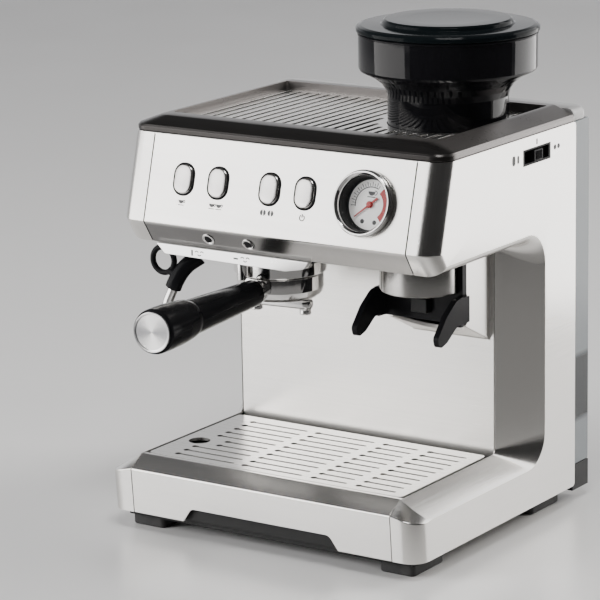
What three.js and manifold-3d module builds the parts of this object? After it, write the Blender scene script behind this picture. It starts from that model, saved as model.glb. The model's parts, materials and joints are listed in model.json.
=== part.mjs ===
// Home espresso machine with a built-in grinder, as an assembly of separate solids.
// Millimetres. X to the machine's right, Y to the back (0 at the drip tray's front), Z up from the table.
import * as THREE from 'three';
import { mergeVertices } from 'three/addons/utils/BufferGeometryUtils.js';
import Module from 'manifold-3d';

const wasm = await Module();
wasm.setup();

// ---- driving dimensions ----
const HALF_WIDTH = 140;
const SEAM_X = 117.1;          // where the side panels meet the front panel and the tray
const GAP = 0.3;               // clearance between neighbouring pieces
const SHEET = 2;               // thickness of the steel covers
const STEEL_BOTTOM = 14;       // underside of the steel body above the table
const REAR_Y = 232.7;          // rear edge of the side panels
const TANK_REAR_Y = 258.3;
const CORNER_RADIUS = 14;

const TRAY_TOP = 58.2;
const TRAY_REAR_Y = 140;
const TRAY_EDGE = { y: -2.7, z: 49.3 };   // front edge where the tray's face turns back
const TRAY_LIP_Y = 12.3;                  // where that slope reaches the tray's top
const RAIL_SIDE_Z = 45;                   // the slope's lower edge on the outer sides

const SPLASH_Y = 148;
const JAMB_Y = 185.4;          // rear edge of the working bay on the outer side

const PANEL_BOTTOM = { y: 22.55, z: 238.7 };
const PANEL_TOP = { y: 40.6, z: 304 };
const CHIN = { y: 34, z: 221.3 };
const HEAD_SIDE_Z = 229;       // lower edge of the head on the outer sides

const RIM_TOP = 316;
const RIM_BOTTOM = 304.4;
const RIM_OPENING = { x: 120, front: 66, rear: 224 };
const WARMER_TOP = 309.5;

const GROUP = { x: -34.5, y: 84.5 };
const HOLDER_ANGLE = THREE.MathUtils.degToRad(6.3);  // handle's turn to the right of straight out
const HANDLE_START = 34;       // group axis to the filter holder's side
const HANDLE_END = 195;        // group axis to the handle's end
const HANDLE_Z = 189;          // handle axis where it leaves the filter holder
const HANDLE_END_Z = 193.9;

const HOPPER = { x: 70.6, y: 159.5, neck: 46, radius: 67.6, wall: 2.4 };
const HOPPER_TOP = 379;
const OUTLET = { x: 79, y: 105, radius: 31, bottom: 192 };
const WAND_PIVOT = new THREE.Vector3(-84, 56, 212.5);
const WATER_NOZZLE = { x: -42.5, y: 45, radius: 3.6 };
const WAND_ELBOW = new THREE.Vector3(-101.5, 41, 190);

const FINE = 26;               // segments of large circles
const COARSE = 12;             // segments of small circles

// ---- finishes ----
const finish = (color, roughness, metalness) => ({ color, roughness, metalness });
const STEEL = finish(0xc9c7c4, 0.32, 1);
const CHROME = finish(0xdedede, 0.12, 1);
const DARK_METAL = finish(0x3a3836, 0.38, 0.8);
const BLACK = finish(0x0c0c0d, 0.35, 0);
const RUBBER = finish(0x141414, 0.8, 0);
const SMOKE = finish(0x1c1d1f, 0.15, 0);
const TANK = finish(0x6f7f8a, 0.2, 0);
const GREY = finish(0xb9bbbd, 0.4, 0.2);
const BRASS = finish(0xb08a4a, 0.35, 1);
const WHITE = finish(0xf2f1ee, 0.5, 0);
const RED = finish(0xc22a26, 0.4, 0);
const ALUMINIUM = finish(0xd6d7d8, 0.28, 1);
const GLASS = finish(0xe8eef0, 0.05, 0);

// ---- mesh helpers ----
function manifoldOf(geometry) {
  const bare = geometry.clone();
  bare.deleteAttribute('normal');
  bare.deleteAttribute('uv');
  const merged = mergeVertices(bare, 1e-4);
  const index = merged.index.array;
  const kept = [];
  for (let i = 0; i < index.length; i += 3) {
    const [a, b, c] = [index[i], index[i + 1], index[i + 2]];
    if (a !== b && b !== c && c !== a) kept.push(a, b, c);
  }
  const made = new wasm.Manifold(new wasm.Mesh({
    numProp: 3,
    vertProperties: new Float32Array(merged.attributes.position.array),
    triVerts: new Uint32Array(kept),
  }));
  return made;
}

function geometryOf(manifold) {
  const mesh = manifold.getMesh();
  const geometry = new THREE.BufferGeometry();
  geometry.setAttribute('position', new THREE.BufferAttribute(new Float32Array(mesh.vertProperties), 3));
  geometry.setIndex(new THREE.BufferAttribute(new Uint32Array(mesh.triVerts), 1));
  return geometry;
}

const cut = (body, ...tools) => geometryOf(
  tools.reduce((left, tool) => left.subtract(manifoldOf(tool)), manifoldOf(body)));
const join = (first, ...others) => geometryOf(
  others.reduce((sum, other) => sum.add(manifoldOf(other)), manifoldOf(first)));
const common = (first, ...others) => geometryOf(
  others.reduce((rest, other) => rest.intersect(manifoldOf(other)), manifoldOf(first)));

function mirrored(geometry) {
  const copy = geometry.clone().applyMatrix4(new THREE.Matrix4().makeScale(-1, 1, 1));
  const index = copy.index.array;
  for (let i = 0; i < index.length; i += 3) [index[i], index[i + 1]] = [index[i + 1], index[i]];
  return copy;
}

function box(x0, x1, y0, y1, z0, z1) {
  const geometry = new THREE.BoxGeometry(x1 - x0, y1 - y0, z1 - z0);
  return geometry.translate((x0 + x1) / 2, (y0 + y1) / 2, (z0 + z1) / 2);
}

const asShape = (outline) => (outline instanceof THREE.Shape
  ? outline
  : new THREE.Shape(outline.map(([a, b]) => new THREE.Vector2(a, b))));

function extrude(outline, depth, steps = 1, curveSegments = 6) {
  return new THREE.ExtrudeGeometry(asShape(outline), { depth, steps, curveSegments, bevelEnabled: false });
}

const upXY = (outline, z0, z1, arc) => extrude(outline, z1 - z0, 1, arc).translate(0, 0, z0);

function alongX(outline, x0, x1) {
  const turn = new THREE.Matrix4().makeBasis(
    new THREE.Vector3(0, 1, 0), new THREE.Vector3(0, 0, 1), new THREE.Vector3(1, 0, 0));
  return extrude(outline, x1 - x0).applyMatrix4(turn).translate(x0, 0, 0);
}

function alongY(outline, y0, y1, arc) {
  const turn = new THREE.Matrix4().makeBasis(
    new THREE.Vector3(1, 0, 0), new THREE.Vector3(0, 0, 1), new THREE.Vector3(0, -1, 0));
  return extrude(outline, y1 - y0, 1, arc).applyMatrix4(turn).translate(0, y1, 0);
}

// A solid of revolution about +Z. The profile is [radius, z] and starts and ends on the axis, or closes.
function turned(profile, segments = FINE) {
  const points = profile.map(([radius, z]) => new THREE.Vector2(radius, z));
  return new THREE.LatheGeometry(points, segments).rotateX(Math.PI / 2);
}

const disc = (radius, z0, z1, segments) => turned([[0, z0], [radius, z0], [radius, z1], [0, z1]], segments);
const ring = (inner, outer, z0, z1, segments) => turned(
  [[inner, z0], [outer, z0], [outer, z1], [inner, z1], [inner, z0]], segments);

// A round bar between two points.
function bar(from, to, radius, segments = COARSE) {
  const along = new THREE.Vector3().subVectors(to, from);
  const turn = new THREE.Quaternion().setFromUnitVectors(
    new THREE.Vector3(0, 0, 1), along.clone().normalize());
  return disc(radius, 0, along.length(), segments).applyQuaternion(turn).translate(from.x, from.y, from.z);
}

function tube(points, radius, steps = 16, sides = 10) {
  const path = new THREE.CatmullRomCurve3(points);
  const section = new THREE.Shape().absarc(0, 0, radius, 0, 2 * Math.PI);
  return new THREE.ExtrudeGeometry(section, { steps, extrudePath: path, curveSegments: sides });
}

function roundedShape(width, height, radius, cx = 0, cy = 0) {
  const [w, h] = [width / 2 - radius, height / 2 - radius];
  const shape = new THREE.Shape();
  shape.absarc(cx + w, cy - h, radius, -Math.PI / 2, 0);
  shape.absarc(cx + w, cy + h, radius, 0, Math.PI / 2);
  shape.absarc(cx - w, cy + h, radius, Math.PI / 2, Math.PI);
  shape.absarc(cx - w, cy - h, radius, Math.PI, 1.5 * Math.PI);
  return shape;
}

const assembly = new THREE.Group();
assembly.name = 'espresso_machine';

function add(name, geometry, look, parent = assembly) {
  const merged = geometryOf(manifoldOf(geometry));
  const mesh = new THREE.Mesh(merged, new THREE.MeshStandardMaterial(look));
  mesh.name = name;
  parent.add(mesh);
  return mesh;
}

function group(position, rotationX = 0) {
  const made = new THREE.Group();
  made.position.copy(position);
  made.rotation.x = rotationX;
  assembly.add(made);
  return made;
}

// ---- side panels: a C-shaped shell, open towards the middle ----
// The plan of a block whose outer front corner is rounded.
function cornerPlan(inner, outer, radius) {
  const shape = new THREE.Shape();
  shape.moveTo(inner, REAR_Y);
  shape.lineTo(inner, 0);
  shape.lineTo(outer - radius, 0);
  shape.absarc(outer - radius, radius, radius, -Math.PI / 2, 0);
  shape.lineTo(outer, REAR_Y);
  return shape;
}

// Stacks a plan through levels {z, y}, where y is the place of the front edge at that height.
function stacked(plan, levels, rear) {
  const geometry = extrude(plan, levels.length - 1, levels.length - 1);
  const position = geometry.attributes.position;
  for (let i = 0; i < position.count; i += 1) {
    const level = levels[Math.round(position.getZ(i))];
    const y = position.getY(i);
    position.setZ(i, level.z);
    position.setY(i, y > REAR_Y / 2 ? rear : y + level.y);
  }
  return geometry;
}

// inset is 0 for the outer skin and SHEET for the hollow, which is open at the inner side.
function sideSolid(inset) {
  const inner = inset ? SEAM_X - 10 : SEAM_X + GAP;
  const outer = HALF_WIDTH - inset;
  const rear = REAR_Y - inset;
  const radius = CORNER_RADIUS - inset;
  const plan = cornerPlan(inner, outer, radius);
  const headBottom = CHIN.z + inset;
  const head = common(
    stacked(plan, [
      { z: CHIN.z + inset, y: CHIN.y + inset },
      { z: PANEL_BOTTOM.z, y: PANEL_BOTTOM.y + inset },
      { z: PANEL_TOP.z - inset, y: PANEL_TOP.y + inset },
    ], rear),
    alongY([
      [inner, headBottom], [HALF_WIDTH - 12 - inset, headBottom], [outer, HEAD_SIDE_Z + inset / 2],
      [outer, PANEL_TOP.z], [inner, PANEL_TOP.z],
    ], 0, 300));
  const jambShift = inset * 1.2;
  const headOverlap = 6;
  const pillar = upXY([
    [inner, SPLASH_Y + GAP + jambShift], [SEAM_X + GAP, SPLASH_Y + GAP + jambShift],
    [outer, JAMB_Y + jambShift], [outer, rear], [inner, rear],
  ], STEEL_BOTTOM + inset + headOverlap, HEAD_SIDE_Z + headOverlap);
  const rail = common(
    stacked(plan, [
      { z: STEEL_BOTTOM + inset, y: inset },
      { z: TRAY_EDGE.z, y: TRAY_EDGE.y + inset },
      { z: TRAY_TOP, y: TRAY_EDGE.y + inset },
    ], rear),
    alongY([
      [inner, STEEL_BOTTOM + inset], [outer, STEEL_BOTTOM + inset], [outer, RAIL_SIDE_Z - inset / 2],
      [SEAM_X + GAP, TRAY_TOP - inset], [inner, TRAY_TOP - inset],
    ], -20, 300),
    alongX([
      [-20, 0], [-20, TRAY_EDGE.z - inset - 10.3], [TRAY_LIP_Y + inset / 2, TRAY_TOP - inset / 2],
      [300, TRAY_TOP - inset / 2], [300, 0],
    ], 0, 200));
  return join(head, pillar, rail);
}

const SELECTOR = { y: 172.5, z: 288.75, length: 41.7, height: 12.5 };

function sidePanels() {
  const shell = cut(sideSolid(0), sideSolid(SHEET));
  const window = box(HALF_WIDTH - 5, HALF_WIDTH + 5,
    SELECTOR.y - SELECTOR.length / 2, SELECTOR.y + SELECTOR.length / 2,
    SELECTOR.z - SELECTOR.height / 2, SELECTOR.z + SELECTOR.height / 2);
  const hopperRelief = disc(HOPPER.neck + 3, 290, 310).translate(HOPPER.x, HOPPER.y, 0);
  add('side_panel_right', cut(shell, window, hopperRelief), STEEL);
  add('side_panel_left', mirrored(shell), STEEL);
}

// ---- base ----
const BASE_BOTTOM = 9;
const FOOT = { width: 30, depth: 44, radius: 4, x: 113, front: 34, rear: 208 };
const STAND_TOP = 29.5;
const TANK_HALF = 138;
const INLET = { x: -80, z: 19.5, depth: 9 };

function base() {
  add('base_pan', box(-128, 128, 8, REAR_Y, BASE_BOTTOM, STEEL_BOTTOM - GAP), BLACK);
  for (const [side, x] of [['left', -1], ['right', 1]]) {
    for (const end of ['front', 'rear']) {
      const outline = roundedShape(FOOT.width, FOOT.depth, FOOT.radius, x * FOOT.x, FOOT[end]);
      add(`foot_${end}_${side}`, upXY(outline, 0, BASE_BOTTOM - GAP, 2), RUBBER);
    }
  }
  const rear = TANK_REAR_Y - INLET.depth;
  const recess = disc(8.5, 0, 12).rotateX(-Math.PI / 2).translate(INLET.x, rear, INLET.z);
  add('tank_stand', cut(
    box(-TANK_HALF, TANK_HALF, REAR_Y + GAP, TANK_REAR_Y, BASE_BOTTOM, STAND_TOP), recess), BLACK);
  const inlet = turned([[0, 0], [7.5, 0], [7.5, 3], [5.2, 4.5], [5.2, 8.6], [0, 8.6]], COARSE);
  add('cord_inlet', inlet.rotateX(-Math.PI / 2).translate(INLET.x, rear + GAP, INLET.z), BLACK);
}

// ---- drip tray ----
function dripTray() {
  const half = SEAM_X - GAP;
  const skin = alongX([
    [0, STEEL_BOTTOM], [2.2, STEEL_BOTTOM], [-0.5, TRAY_EDGE.z - 1], [TRAY_LIP_Y + 0.5, TRAY_TOP - 2],
    [16, TRAY_TOP - 2], [16, TRAY_TOP], [TRAY_LIP_Y, TRAY_TOP], [TRAY_EDGE.y, TRAY_EDGE.z],
  ], -half, half);
  const notch = alongY([[-77, 0], [-62.5, 25], [62.5, 25], [77, 0]], -10, 10);
  add('drip_tray_front', cut(skin, notch), STEEL);
  const tub = { half: 113, front: 3.5, top: TRAY_TOP - 3.5, wall: 2.5 };
  const inside = tub.half - tub.wall;
  const shell = cut(
    box(-tub.half, tub.half, tub.front, TRAY_REAR_Y, STEEL_BOTTOM + GAP, tub.top),
    box(-inside, inside, tub.front + tub.wall, TRAY_REAR_Y - tub.wall, STEEL_BOTTOM + 3, TRAY_TOP));
  const slope = alongX([[-1, 49], [-1, 70], [20, 70], [20, TRAY_TOP - 2.3], [13, TRAY_TOP - 2.3], [1.5, 49]],
    -120, 120);
  add('drip_tray_tub', cut(shell, slope, box(-120, 120, -5, 3.4, 0, 80)), BLACK);
}

const FLOAT = { x: -98.8, y: 62.7, hole: 8.5 };
const SLOT_ROWS = { first: 25.6, pitch: 11.2, count: 10 };
const SLOT_COLUMNS = [[-95, -40], [-33, 22], [30, 62], [70, 105]];
const GRILLE = { width: 229, front: 16.8, radius: 4, thickness: 2.4 };

function slotPath(x0, x1, y, half) {
  const path = new THREE.Path();
  path.absarc(x1 - half, y, half, -Math.PI / 2, Math.PI / 2);
  path.absarc(x0 + half, y, half, Math.PI / 2, 1.5 * Math.PI);
  path.closePath();
  return path;
}

function dripGrille() {
  const plate = roundedShape(
    GRILLE.width, TRAY_REAR_Y - GRILLE.front, GRILLE.radius, 0, (TRAY_REAR_Y + GRILLE.front) / 2);
  for (let row = 0; row < SLOT_ROWS.count; row += 1) {
    const y = SLOT_ROWS.first + row * SLOT_ROWS.pitch;
    for (const [x0, x1] of SLOT_COLUMNS) {
      const besideFloat = x0 < -90 && Math.abs(y - FLOAT.y) < 14;
      plate.holes.push(slotPath(besideFloat ? x0 + 15 : x0, x1, y, 2));
    }
  }
  const hole = disc(FLOAT.hole, TRAY_TOP - 10, TRAY_TOP + 10).translate(FLOAT.x, FLOAT.y, 0);
  add('drip_grille', cut(upXY(plate, TRAY_TOP - GRILLE.thickness, TRAY_TOP, 2), hole), STEEL);
  const float = turned([[0, 20], [7, 20], [7, 30], [7.6, 32], [7.6, 55], [0, 55]], COARSE);
  add('tray_float', float.translate(FLOAT.x, FLOAT.y, 0), BLACK);
}

// ---- rear and inner covers ----
// The splash plate is pressed forward into a housing behind the grinder's outlet.
function splashPlate(half) {
  const back = SPLASH_Y + 1.8;
  const plate = box(-half, half, SPLASH_Y + GAP, back, STEEL_BOTTOM + GAP, CHIN.z);
  const front = OUTLET.y + 8;
  const housing = alongX([
    [front, CHIN.z], [back, CHIN.z], [back, 147], [front, 165],
  ], OUTLET.x - 34, OUTLET.x + 34);
  const hollow = alongX([
    [front + 2, CHIN.z + 5], [back + 5, CHIN.z + 5], [back + 5, 149], [front + 2, 167],
  ], OUTLET.x - 32, OUTLET.x + 32);
  const collar = disc(OUTLET.radius + GAP, 100, 240, FINE).translate(OUTLET.x, OUTLET.y, 0);
  return cut(join(plate, housing), hollow, collar);
}

function headUnderside(half) {
  const [low, high] = [CHIN.z + GAP, CHIN.z + 2.3];
  const at = (geometry, place) => geometry.translate(place.x, place.y, 0);
  const shroud = cut(at(ring(36.1, 46, 211, high), GROUP), box(-half, half, 0, CHIN.y + 4, 200, 230));
  const steamNut = at(disc(9.6, 218.6, high, COARSE), WAND_PIVOT);
  return cut(join(box(-half, half, CHIN.y + 3, SPLASH_Y + 1.8, low, high), shroud, steamNut),
    at(disc(36.1, 200, 240, FINE), GROUP),
    at(disc(OUTLET.radius + GAP, 200, 240, FINE), OUTLET),
    at(disc(WATER_NOZZLE.radius + GAP, 200, 240, COARSE), WATER_NOZZLE));
}

function covers() {
  const half = SEAM_X - GAP;
  add('splash_plate', splashPlate(half), STEEL);
  add('rear_cover', box(-half, half, 203, 204.5, STEEL_BOTTOM + GAP, 294), GREY);
  add('head_underside', headUnderside(half), DARK_METAL);
}

// ---- head front panel and what is set into it ----
const BUTTONS = { one_cup: -84.6, two_cup: -53.2, grind: -6.5, power: 24.9 };
const BUTTON = { up: 35.3, width: 16.5, height: 22.4 };
const GAUGE = { x: 77.4, up: 33 };
const LENSES = { left: -60.8, right: -24.5 };

function frontPanel() {
  const half = SEAM_X - GAP;
  const leanAngle = Math.atan2(PANEL_TOP.z - PANEL_BOTTOM.z, PANEL_TOP.y - PANEL_BOTTOM.y);
  const chinAngle = Math.atan2(PANEL_BOTTOM.z - CHIN.z, PANEL_BOTTOM.y - CHIN.y);
  const edge = new THREE.Vector3(0, PANEL_BOTTOM.y, PANEL_BOTTOM.z);
  const skin = alongX([
    [CHIN.y, CHIN.z], [CHIN.y + 2.4, CHIN.z], [PANEL_BOTTOM.y + 2.4, PANEL_BOTTOM.z],
    [PANEL_TOP.y + 2.4, PANEL_TOP.z], [PANEL_TOP.y, PANEL_TOP.z], [PANEL_BOTTOM.y, PANEL_BOTTOM.z],
  ], -half, half);
  const onPanel = (geometry) => geometry.rotateX(leanAngle).translate(0, edge.y, edge.z);
  const onChin = (geometry) => geometry.rotateX(chinAngle).translate(0, edge.y, edge.z);
  const holes = Object.values(BUTTONS).map((x) => onPanel(
    upXY(roundedShape(BUTTON.width + 0.8, BUTTON.height + 0.8, 7.4, x, BUTTON.up), -8, 8, 4)));
  holes.push(onPanel(disc(21.8, -8, 8, 28).translate(GAUGE.x, GAUGE.up, 0)));
  for (const x of Object.values(LENSES)) {
    holes.push(onChin(disc(4, -6, 6, 12).translate(x, -10.8, 0)));
  }
  add('front_panel', cut(skin, ...holes), STEEL);

  const panel = group(edge, leanAngle);
  for (const [name, x] of Object.entries(BUTTONS)) {
    const outline = roundedShape(BUTTON.width, BUTTON.height, 7, x, BUTTON.up);
    add(`button_${name}`, upXY(outline, -4.5, 1.6, 4), CHROME, panel);
  }
  const place = (geometry) => geometry.translate(GAUGE.x, GAUGE.up, 0);
  add('gauge_case', place(turned([
    [0, -14], [21.4, -14], [21.4, GAP], [25, GAP], [25, 4.5], [23.2, 6.2], [20.6, 4.6], [20.6, -12], [0, -12],
  ], FINE)), CHROME, panel);
  add('gauge_dial', place(disc(20.2, -3.2, -2.2, 28)), WHITE, panel);
  add('gauge_glass', place(disc(20.2, 2.2, 3.6, 28)), GLASS, panel);
  const hub = disc(2.4, -1.9, 0.6, 12);
  const needle = upXY([[-0.9, -5], [0.9, -5], [0.5, 15], [-0.5, 15]], -0.8, 0);
  const restAngle = THREE.MathUtils.degToRad(130);
  add('gauge_needle', place(join(hub, needle).rotateZ(restAngle)), RED, panel);

  const chin = group(edge, chinAngle);
  for (const [side, x] of Object.entries(LENSES)) {
    add(`indicator_${side}`, turned([[0, -3.5], [3.7, -3.5], [3.7, 0.4], [0, 1.2]], 12)
      .translate(x, -10.8, 0), BLACK, chin);
  }
  const strip = new THREE.Shape();
  strip.moveTo(-112, CHIN.z - GAP);
  strip.lineTo(-104, CHIN.z - 8);
  strip.lineTo(6, CHIN.z - 9.5);
  strip.quadraticCurveTo(18, CHIN.z - 9, 27, CHIN.z - GAP);
  add('label_strip', alongY(strip, CHIN.y - 3, CHIN.y + 3, 5), CHROME);
}

// ---- top ----
const WARMER_SLOTS = { count: 25, span: 222, hopperClear: 53 };

function top() {
  const half = HALF_WIDTH - 0.2;
  const outer = common(
    alongX([
      [PANEL_TOP.y + 0.2, RIM_BOTTOM], [PANEL_TOP.y + 0.2, RIM_BOTTOM + 4], [52, RIM_TOP],
      [REAR_Y - 1, RIM_TOP], [REAR_Y - 1, RIM_BOTTOM],
    ], -half, half),
    alongY([
      [-half, RIM_BOTTOM], [-half, RIM_BOTTOM + 4], [-122, RIM_TOP], [122, RIM_TOP],
      [half, RIM_BOTTOM + 4], [half, RIM_BOTTOM],
    ], 0, 300),
    upXY(roundedShape(2 * half, REAR_Y - 1 - PANEL_TOP.y, CORNER_RADIUS, 0, (REAR_Y - 1 + PANEL_TOP.y) / 2),
      300, 320, 5));
  const { x, front, rear } = RIM_OPENING;
  add('top_rim', cut(outer, box(-x, x, front, rear, 300, 330)), DARK_METAL);
  const [low, high] = [WARMER_TOP - 1.8, WARMER_TOP];
  const slot = (cx, y0, y1) => box(cx - 2, cx + 2, y0, y1, low - 5, high + 5);
  const socketRadius = HOPPER.neck + 0.5;
  const openings = [disc(socketRadius, 290, 320, 28).translate(HOPPER.x, HOPPER.y, 0)];
  for (let i = 0; i < WARMER_SLOTS.count; i += 1) {
    const cx = (i / (WARMER_SLOTS.count - 1) - 0.5) * WARMER_SLOTS.span;
    const reach = WARMER_SLOTS.hopperClear ** 2 - (cx - HOPPER.x) ** 2;
    if (reach <= 0) {
      openings.push(slot(cx, front + 6, rear - 6));
    } else {
      openings.push(slot(cx, front + 6, HOPPER.y - Math.sqrt(reach)));
      const behind = HOPPER.y + Math.sqrt(reach);
      if (behind < rear - 10) openings.push(slot(cx, behind, rear - 6));
    }
  }
  const socket = ring(socketRadius, socketRadius + 1.2, 297, high, 28).translate(HOPPER.x, HOPPER.y, 0);
  const plate = box(GAP - x, x - GAP, front + GAP, rear - GAP, low, high);
  add('cup_warmer', cut(join(plate, socket), ...openings), DARK_METAL);
}

// ---- group head and filter holder ----
function brewGroup() {
  const at = (geometry) => geometry.translate(GROUP.x, GROUP.y, 0);
  add('group_head', at(turned([
    [33.8, 198], [35.8, 198], [35.8, 224], [12, 224], [12, 214], [33.8, 214], [33.8, 198],
  ])), CHROME);
  add('group_gasket', at(ring(29.8, 33.4, 209, 213.7, FINE)), RUBBER);
  add('shower_screen', at(turned([
    [0, 207.6], [26.8, 207.6], [29.3, 209], [29.3, 213.6], [0, 213.6],
  ], 28)), CHROME);
  add('boiler', at(turned([[0, 224.5], [33, 224.5], [33, 262], [24, 274], [0, 274]], 24)), BRASS);

  const body = turned([
    [7, 178], [25, 178], [32, 180.5], [33.3, 184], [33.3, 197.6], [30.8, 197.6], [30.8, 206], [28.7, 206],
    [28.7, 183], [7, 180.5], [7, 178],
  ]);
  const lug = common(ring(30, 33.2, 200, 204.5, FINE), upXY([[0, 0], [50, -16], [50, 16]], 190, 210));
  const handleTilt = Math.atan2(HANDLE_END_Z - HANDLE_Z, HANDLE_END - HANDLE_START);
  const alongHandle = (geometry) => geometry
    .rotateX(Math.PI / 2 - handleTilt).translate(0, -HANDLE_START, HANDLE_Z)
    .rotateZ(HOLDER_ANGLE);
  const ferrule = alongHandle(turned([[0, -3.5], [6.5, -3.5], [7.5, 10], [0, 10]], COARSE));
  const holder = join(body, ferrule, lug, lug.clone().rotateZ(Math.PI));
  add('filter_holder', at(holder), CHROME);
  const span = (HANDLE_END - HANDLE_START) / Math.cos(handleTilt);
  const grip = turned([
    [0, 10.5], [10.2, 10.5], [10.8, 24], [13.4, span - 52], [13, span - 50], [14.6, span - 49],
    [16.4, span - 30], [16.6, span - 4], [15.8, span - 0.8], [0, span - 0.8],
  ], 24);
  add('handle_grip', at(alongHandle(grip)), BLACK);
  add('handle_cap', at(alongHandle(disc(14.6, span - 0.5, span + 0.6, 28))), ALUMINIUM);
  add('filter_basket', at(turned([
    [0, 184], [25, 184], [28.2, 188], [28.2, 206.3], [30.6, 206.3], [30.6, 207.2], [27.4, 207.2],
    [27.4, 188.5], [24.5, 185], [0, 185],
  ])), STEEL);
  add('twin_spout', at(spout()), CHROME);
}

function spout() {
  const reach = 21;
  const stem = ring(3, 6.6, 172, 176 + GAP * 12, 14);
  const bridge = box(-reach - 2, reach + 2, -5.5, 5.5, 170, 176);
  const channel = box(-reach + 4, reach - 4, -3, 3, 172, 174.4);
  const ends = [-reach, reach].map((x) => disc(5.5, 170, 176, 14).translate(x, 0, 0));
  const legs = [-reach, reach].map((x) => disc(3.7, 165.5, 171, 14).translate(x, 0, 0));
  const bores = [-reach, reach].map((x) => disc(2.3, 160, 174.4, 10).translate(x, 0, 0));
  return cut(join(bridge, stem, ...ends, ...legs), channel, disc(3, 173, 185, 12), ...bores)
    .rotateZ(HOLDER_ANGLE);
}

// ---- steam wand and hot water ----
function steamWand() {
  const pivot = WAND_PIVOT;
  const ball = new THREE.SphereGeometry(5.4, 14, 10).rotateX(Math.PI / 2);
  add('steam_ball', ball.translate(pivot.x, pivot.y, pivot.z), CHROME);
  const along = new THREE.Vector3().subVectors(WAND_ELBOW, pivot).normalize();
  const start = pivot.clone().addScaledVector(along, 6);
  const middle = pivot.clone().lerp(WAND_ELBOW, 0.6).add(new THREE.Vector3(-1, -1, 2));
  const end = new THREE.Vector3(-103.5, 40.6, 186);
  const down = new THREE.Vector3().subVectors(end, WAND_ELBOW).normalize();
  const bore = bar(end.clone().addScaledVector(down, -9), end.clone().addScaledVector(down, 4), 4.3, 12);
  const arm = tube([start, middle, WAND_ELBOW, end], 6.4, 9, 5);
  const loop = new THREE.TorusGeometry(10, 2.3, 6, 16).rotateX(Math.PI / 2).translate(-113, 41.5, 205.5);
  const web = bar(new THREE.Vector3(-106, 41.2, 197.5), new THREE.Vector3(-98, 41.2, 194), 3, 8);
  add('wand_grip', cut(join(arm, loop, web), bore), BLACK);
  const tubeEnd = new THREE.Vector3(-112, 38, 152);
  const top = end.clone().addScaledVector(down, -7);
  add('wand_tube', tube([top, end, new THREE.Vector3(-108.5, 39, 172), tubeEnd], 4, 12, 5), CHROME);
  add('wand_tip', turned([[0, 140], [2.5, 140], [4.6, 144], [4.6, 151], [0, 151]], COARSE)
    .translate(tubeEnd.x, tubeEnd.y, 0), CHROME);
  add('water_nozzle', ring(1.8, WATER_NOZZLE.radius, 197, 228, COARSE)
    .translate(WATER_NOZZLE.x, WATER_NOZZLE.y, 0), CHROME);
}

// ---- grinder ----
function grinder() {
  const atOutlet = (geometry) => geometry.translate(OUTLET.x, OUTLET.y, 0);
  add('outlet_collar', atOutlet(ring(OUTLET.radius - 2.5, OUTLET.radius, OUTLET.bottom, CHIN.z + 4)), STEEL);
  add('grounds_chute', atOutlet(turned([
    [9, 197], [11, 197], [17, 214], [17, 228], [15, 228], [15, 214.5], [9, 198.5], [9, 197],
  ], COARSE)), BLACK);
  const plate = box(OUTLET.x - 35, OUTLET.x + 35, 107, 112.7, 168, CHIN.z - GAP);
  const arm = alongX([
    [112, 190.5], [88, 190.5], [66, 170], [62, 160], [67, 157.5], [90, 166], [112, 168],
  ], 0, 5);
  const arch = common(
    ring(33.6, 38, 168, 190.5).translate(OUTLET.x, OUTLET.y - 6, 0),
    box(0, 200, OUTLET.y - 6, 112.7, 160, 200));
  const hollow = disc(OUTLET.radius + GAP, OUTLET.bottom - GAP, 230).translate(OUTLET.x, OUTLET.y, 0);
  const slot = box(OUTLET.x - 7.5, OUTLET.x + 7.5, 100, 120, 174, 186);
  const cradle = join(plate, arm.clone().translate(OUTLET.x - 38.5, 0, 0),
    arm.clone().translate(OUTLET.x + 33.5, 0, 0), arch);
  add('holder_cradle', cut(cradle, hollow, slot,
    box(OUTLET.x - 33.5, OUTLET.x + 33.5, 50, 100, 150, 200)), BLACK);
  add('dose_switch', box(OUTLET.x - 7, OUTLET.x + 7, 101, 110, 174.5, 185.5), DARK_METAL);

  const atHopper = (geometry) => geometry.translate(HOPPER.x, HOPPER.y, 0);
  add('grinder_motor', atHopper(join(
    turned([[0, 226], [36, 226], [36, 256], [4.5, 256], [4.5, 240], [0, 240]], 24),
    ring(27, 31, 255, 282, 24))), DARK_METAL);
  add('burr_shaft', atHopper(disc(4, 240.5, 291, 12)), STEEL);
  add('inner_burr', atHopper(turned([
    [4.3, 262], [16, 262], [9, 287], [4.3, 287], [4.3, 262],
  ], 16)), DARK_METAL);
  add('outer_burr', atHopper(turned([
    [18.5, 262], [26, 262], [26, 286], [15, 286], [15, 276], [18.5, 262],
  ], 24)), DARK_METAL);
  const lever = box(38, 57, -3, 3, 287, 290);
  add('grind_ring', atHopper(join(ring(24, 40, 287, 291, 24), lever.rotateZ(0.18))), BLACK);
  selector();
  hopper(atHopper);
}

function hopper(atHopper) {
  const { neck, radius, wall } = HOPPER;
  add('bean_hopper', atHopper(turned([
    [9, 293], [14, 293], [16, 301], [neck, 304], [neck, 331.5], [radius, 351], [radius, HOPPER_TOP],
    [radius - wall, HOPPER_TOP], [radius - wall, 352], [neck - wall, 332.6], [neck - wall, 309],
    [9, 303], [9, 293],
  ], 28)), SMOKE);
  add('hopper_lid', atHopper(turned([
    [0, HOPPER_TOP + GAP], [62, HOPPER_TOP + GAP], [69.2, HOPPER_TOP + GAP], [69.2, 383.5], [66, 385],
    [50, 385], [48.5, 389], [0, 389],
  ], 28)), SMOKE);
}

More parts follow.
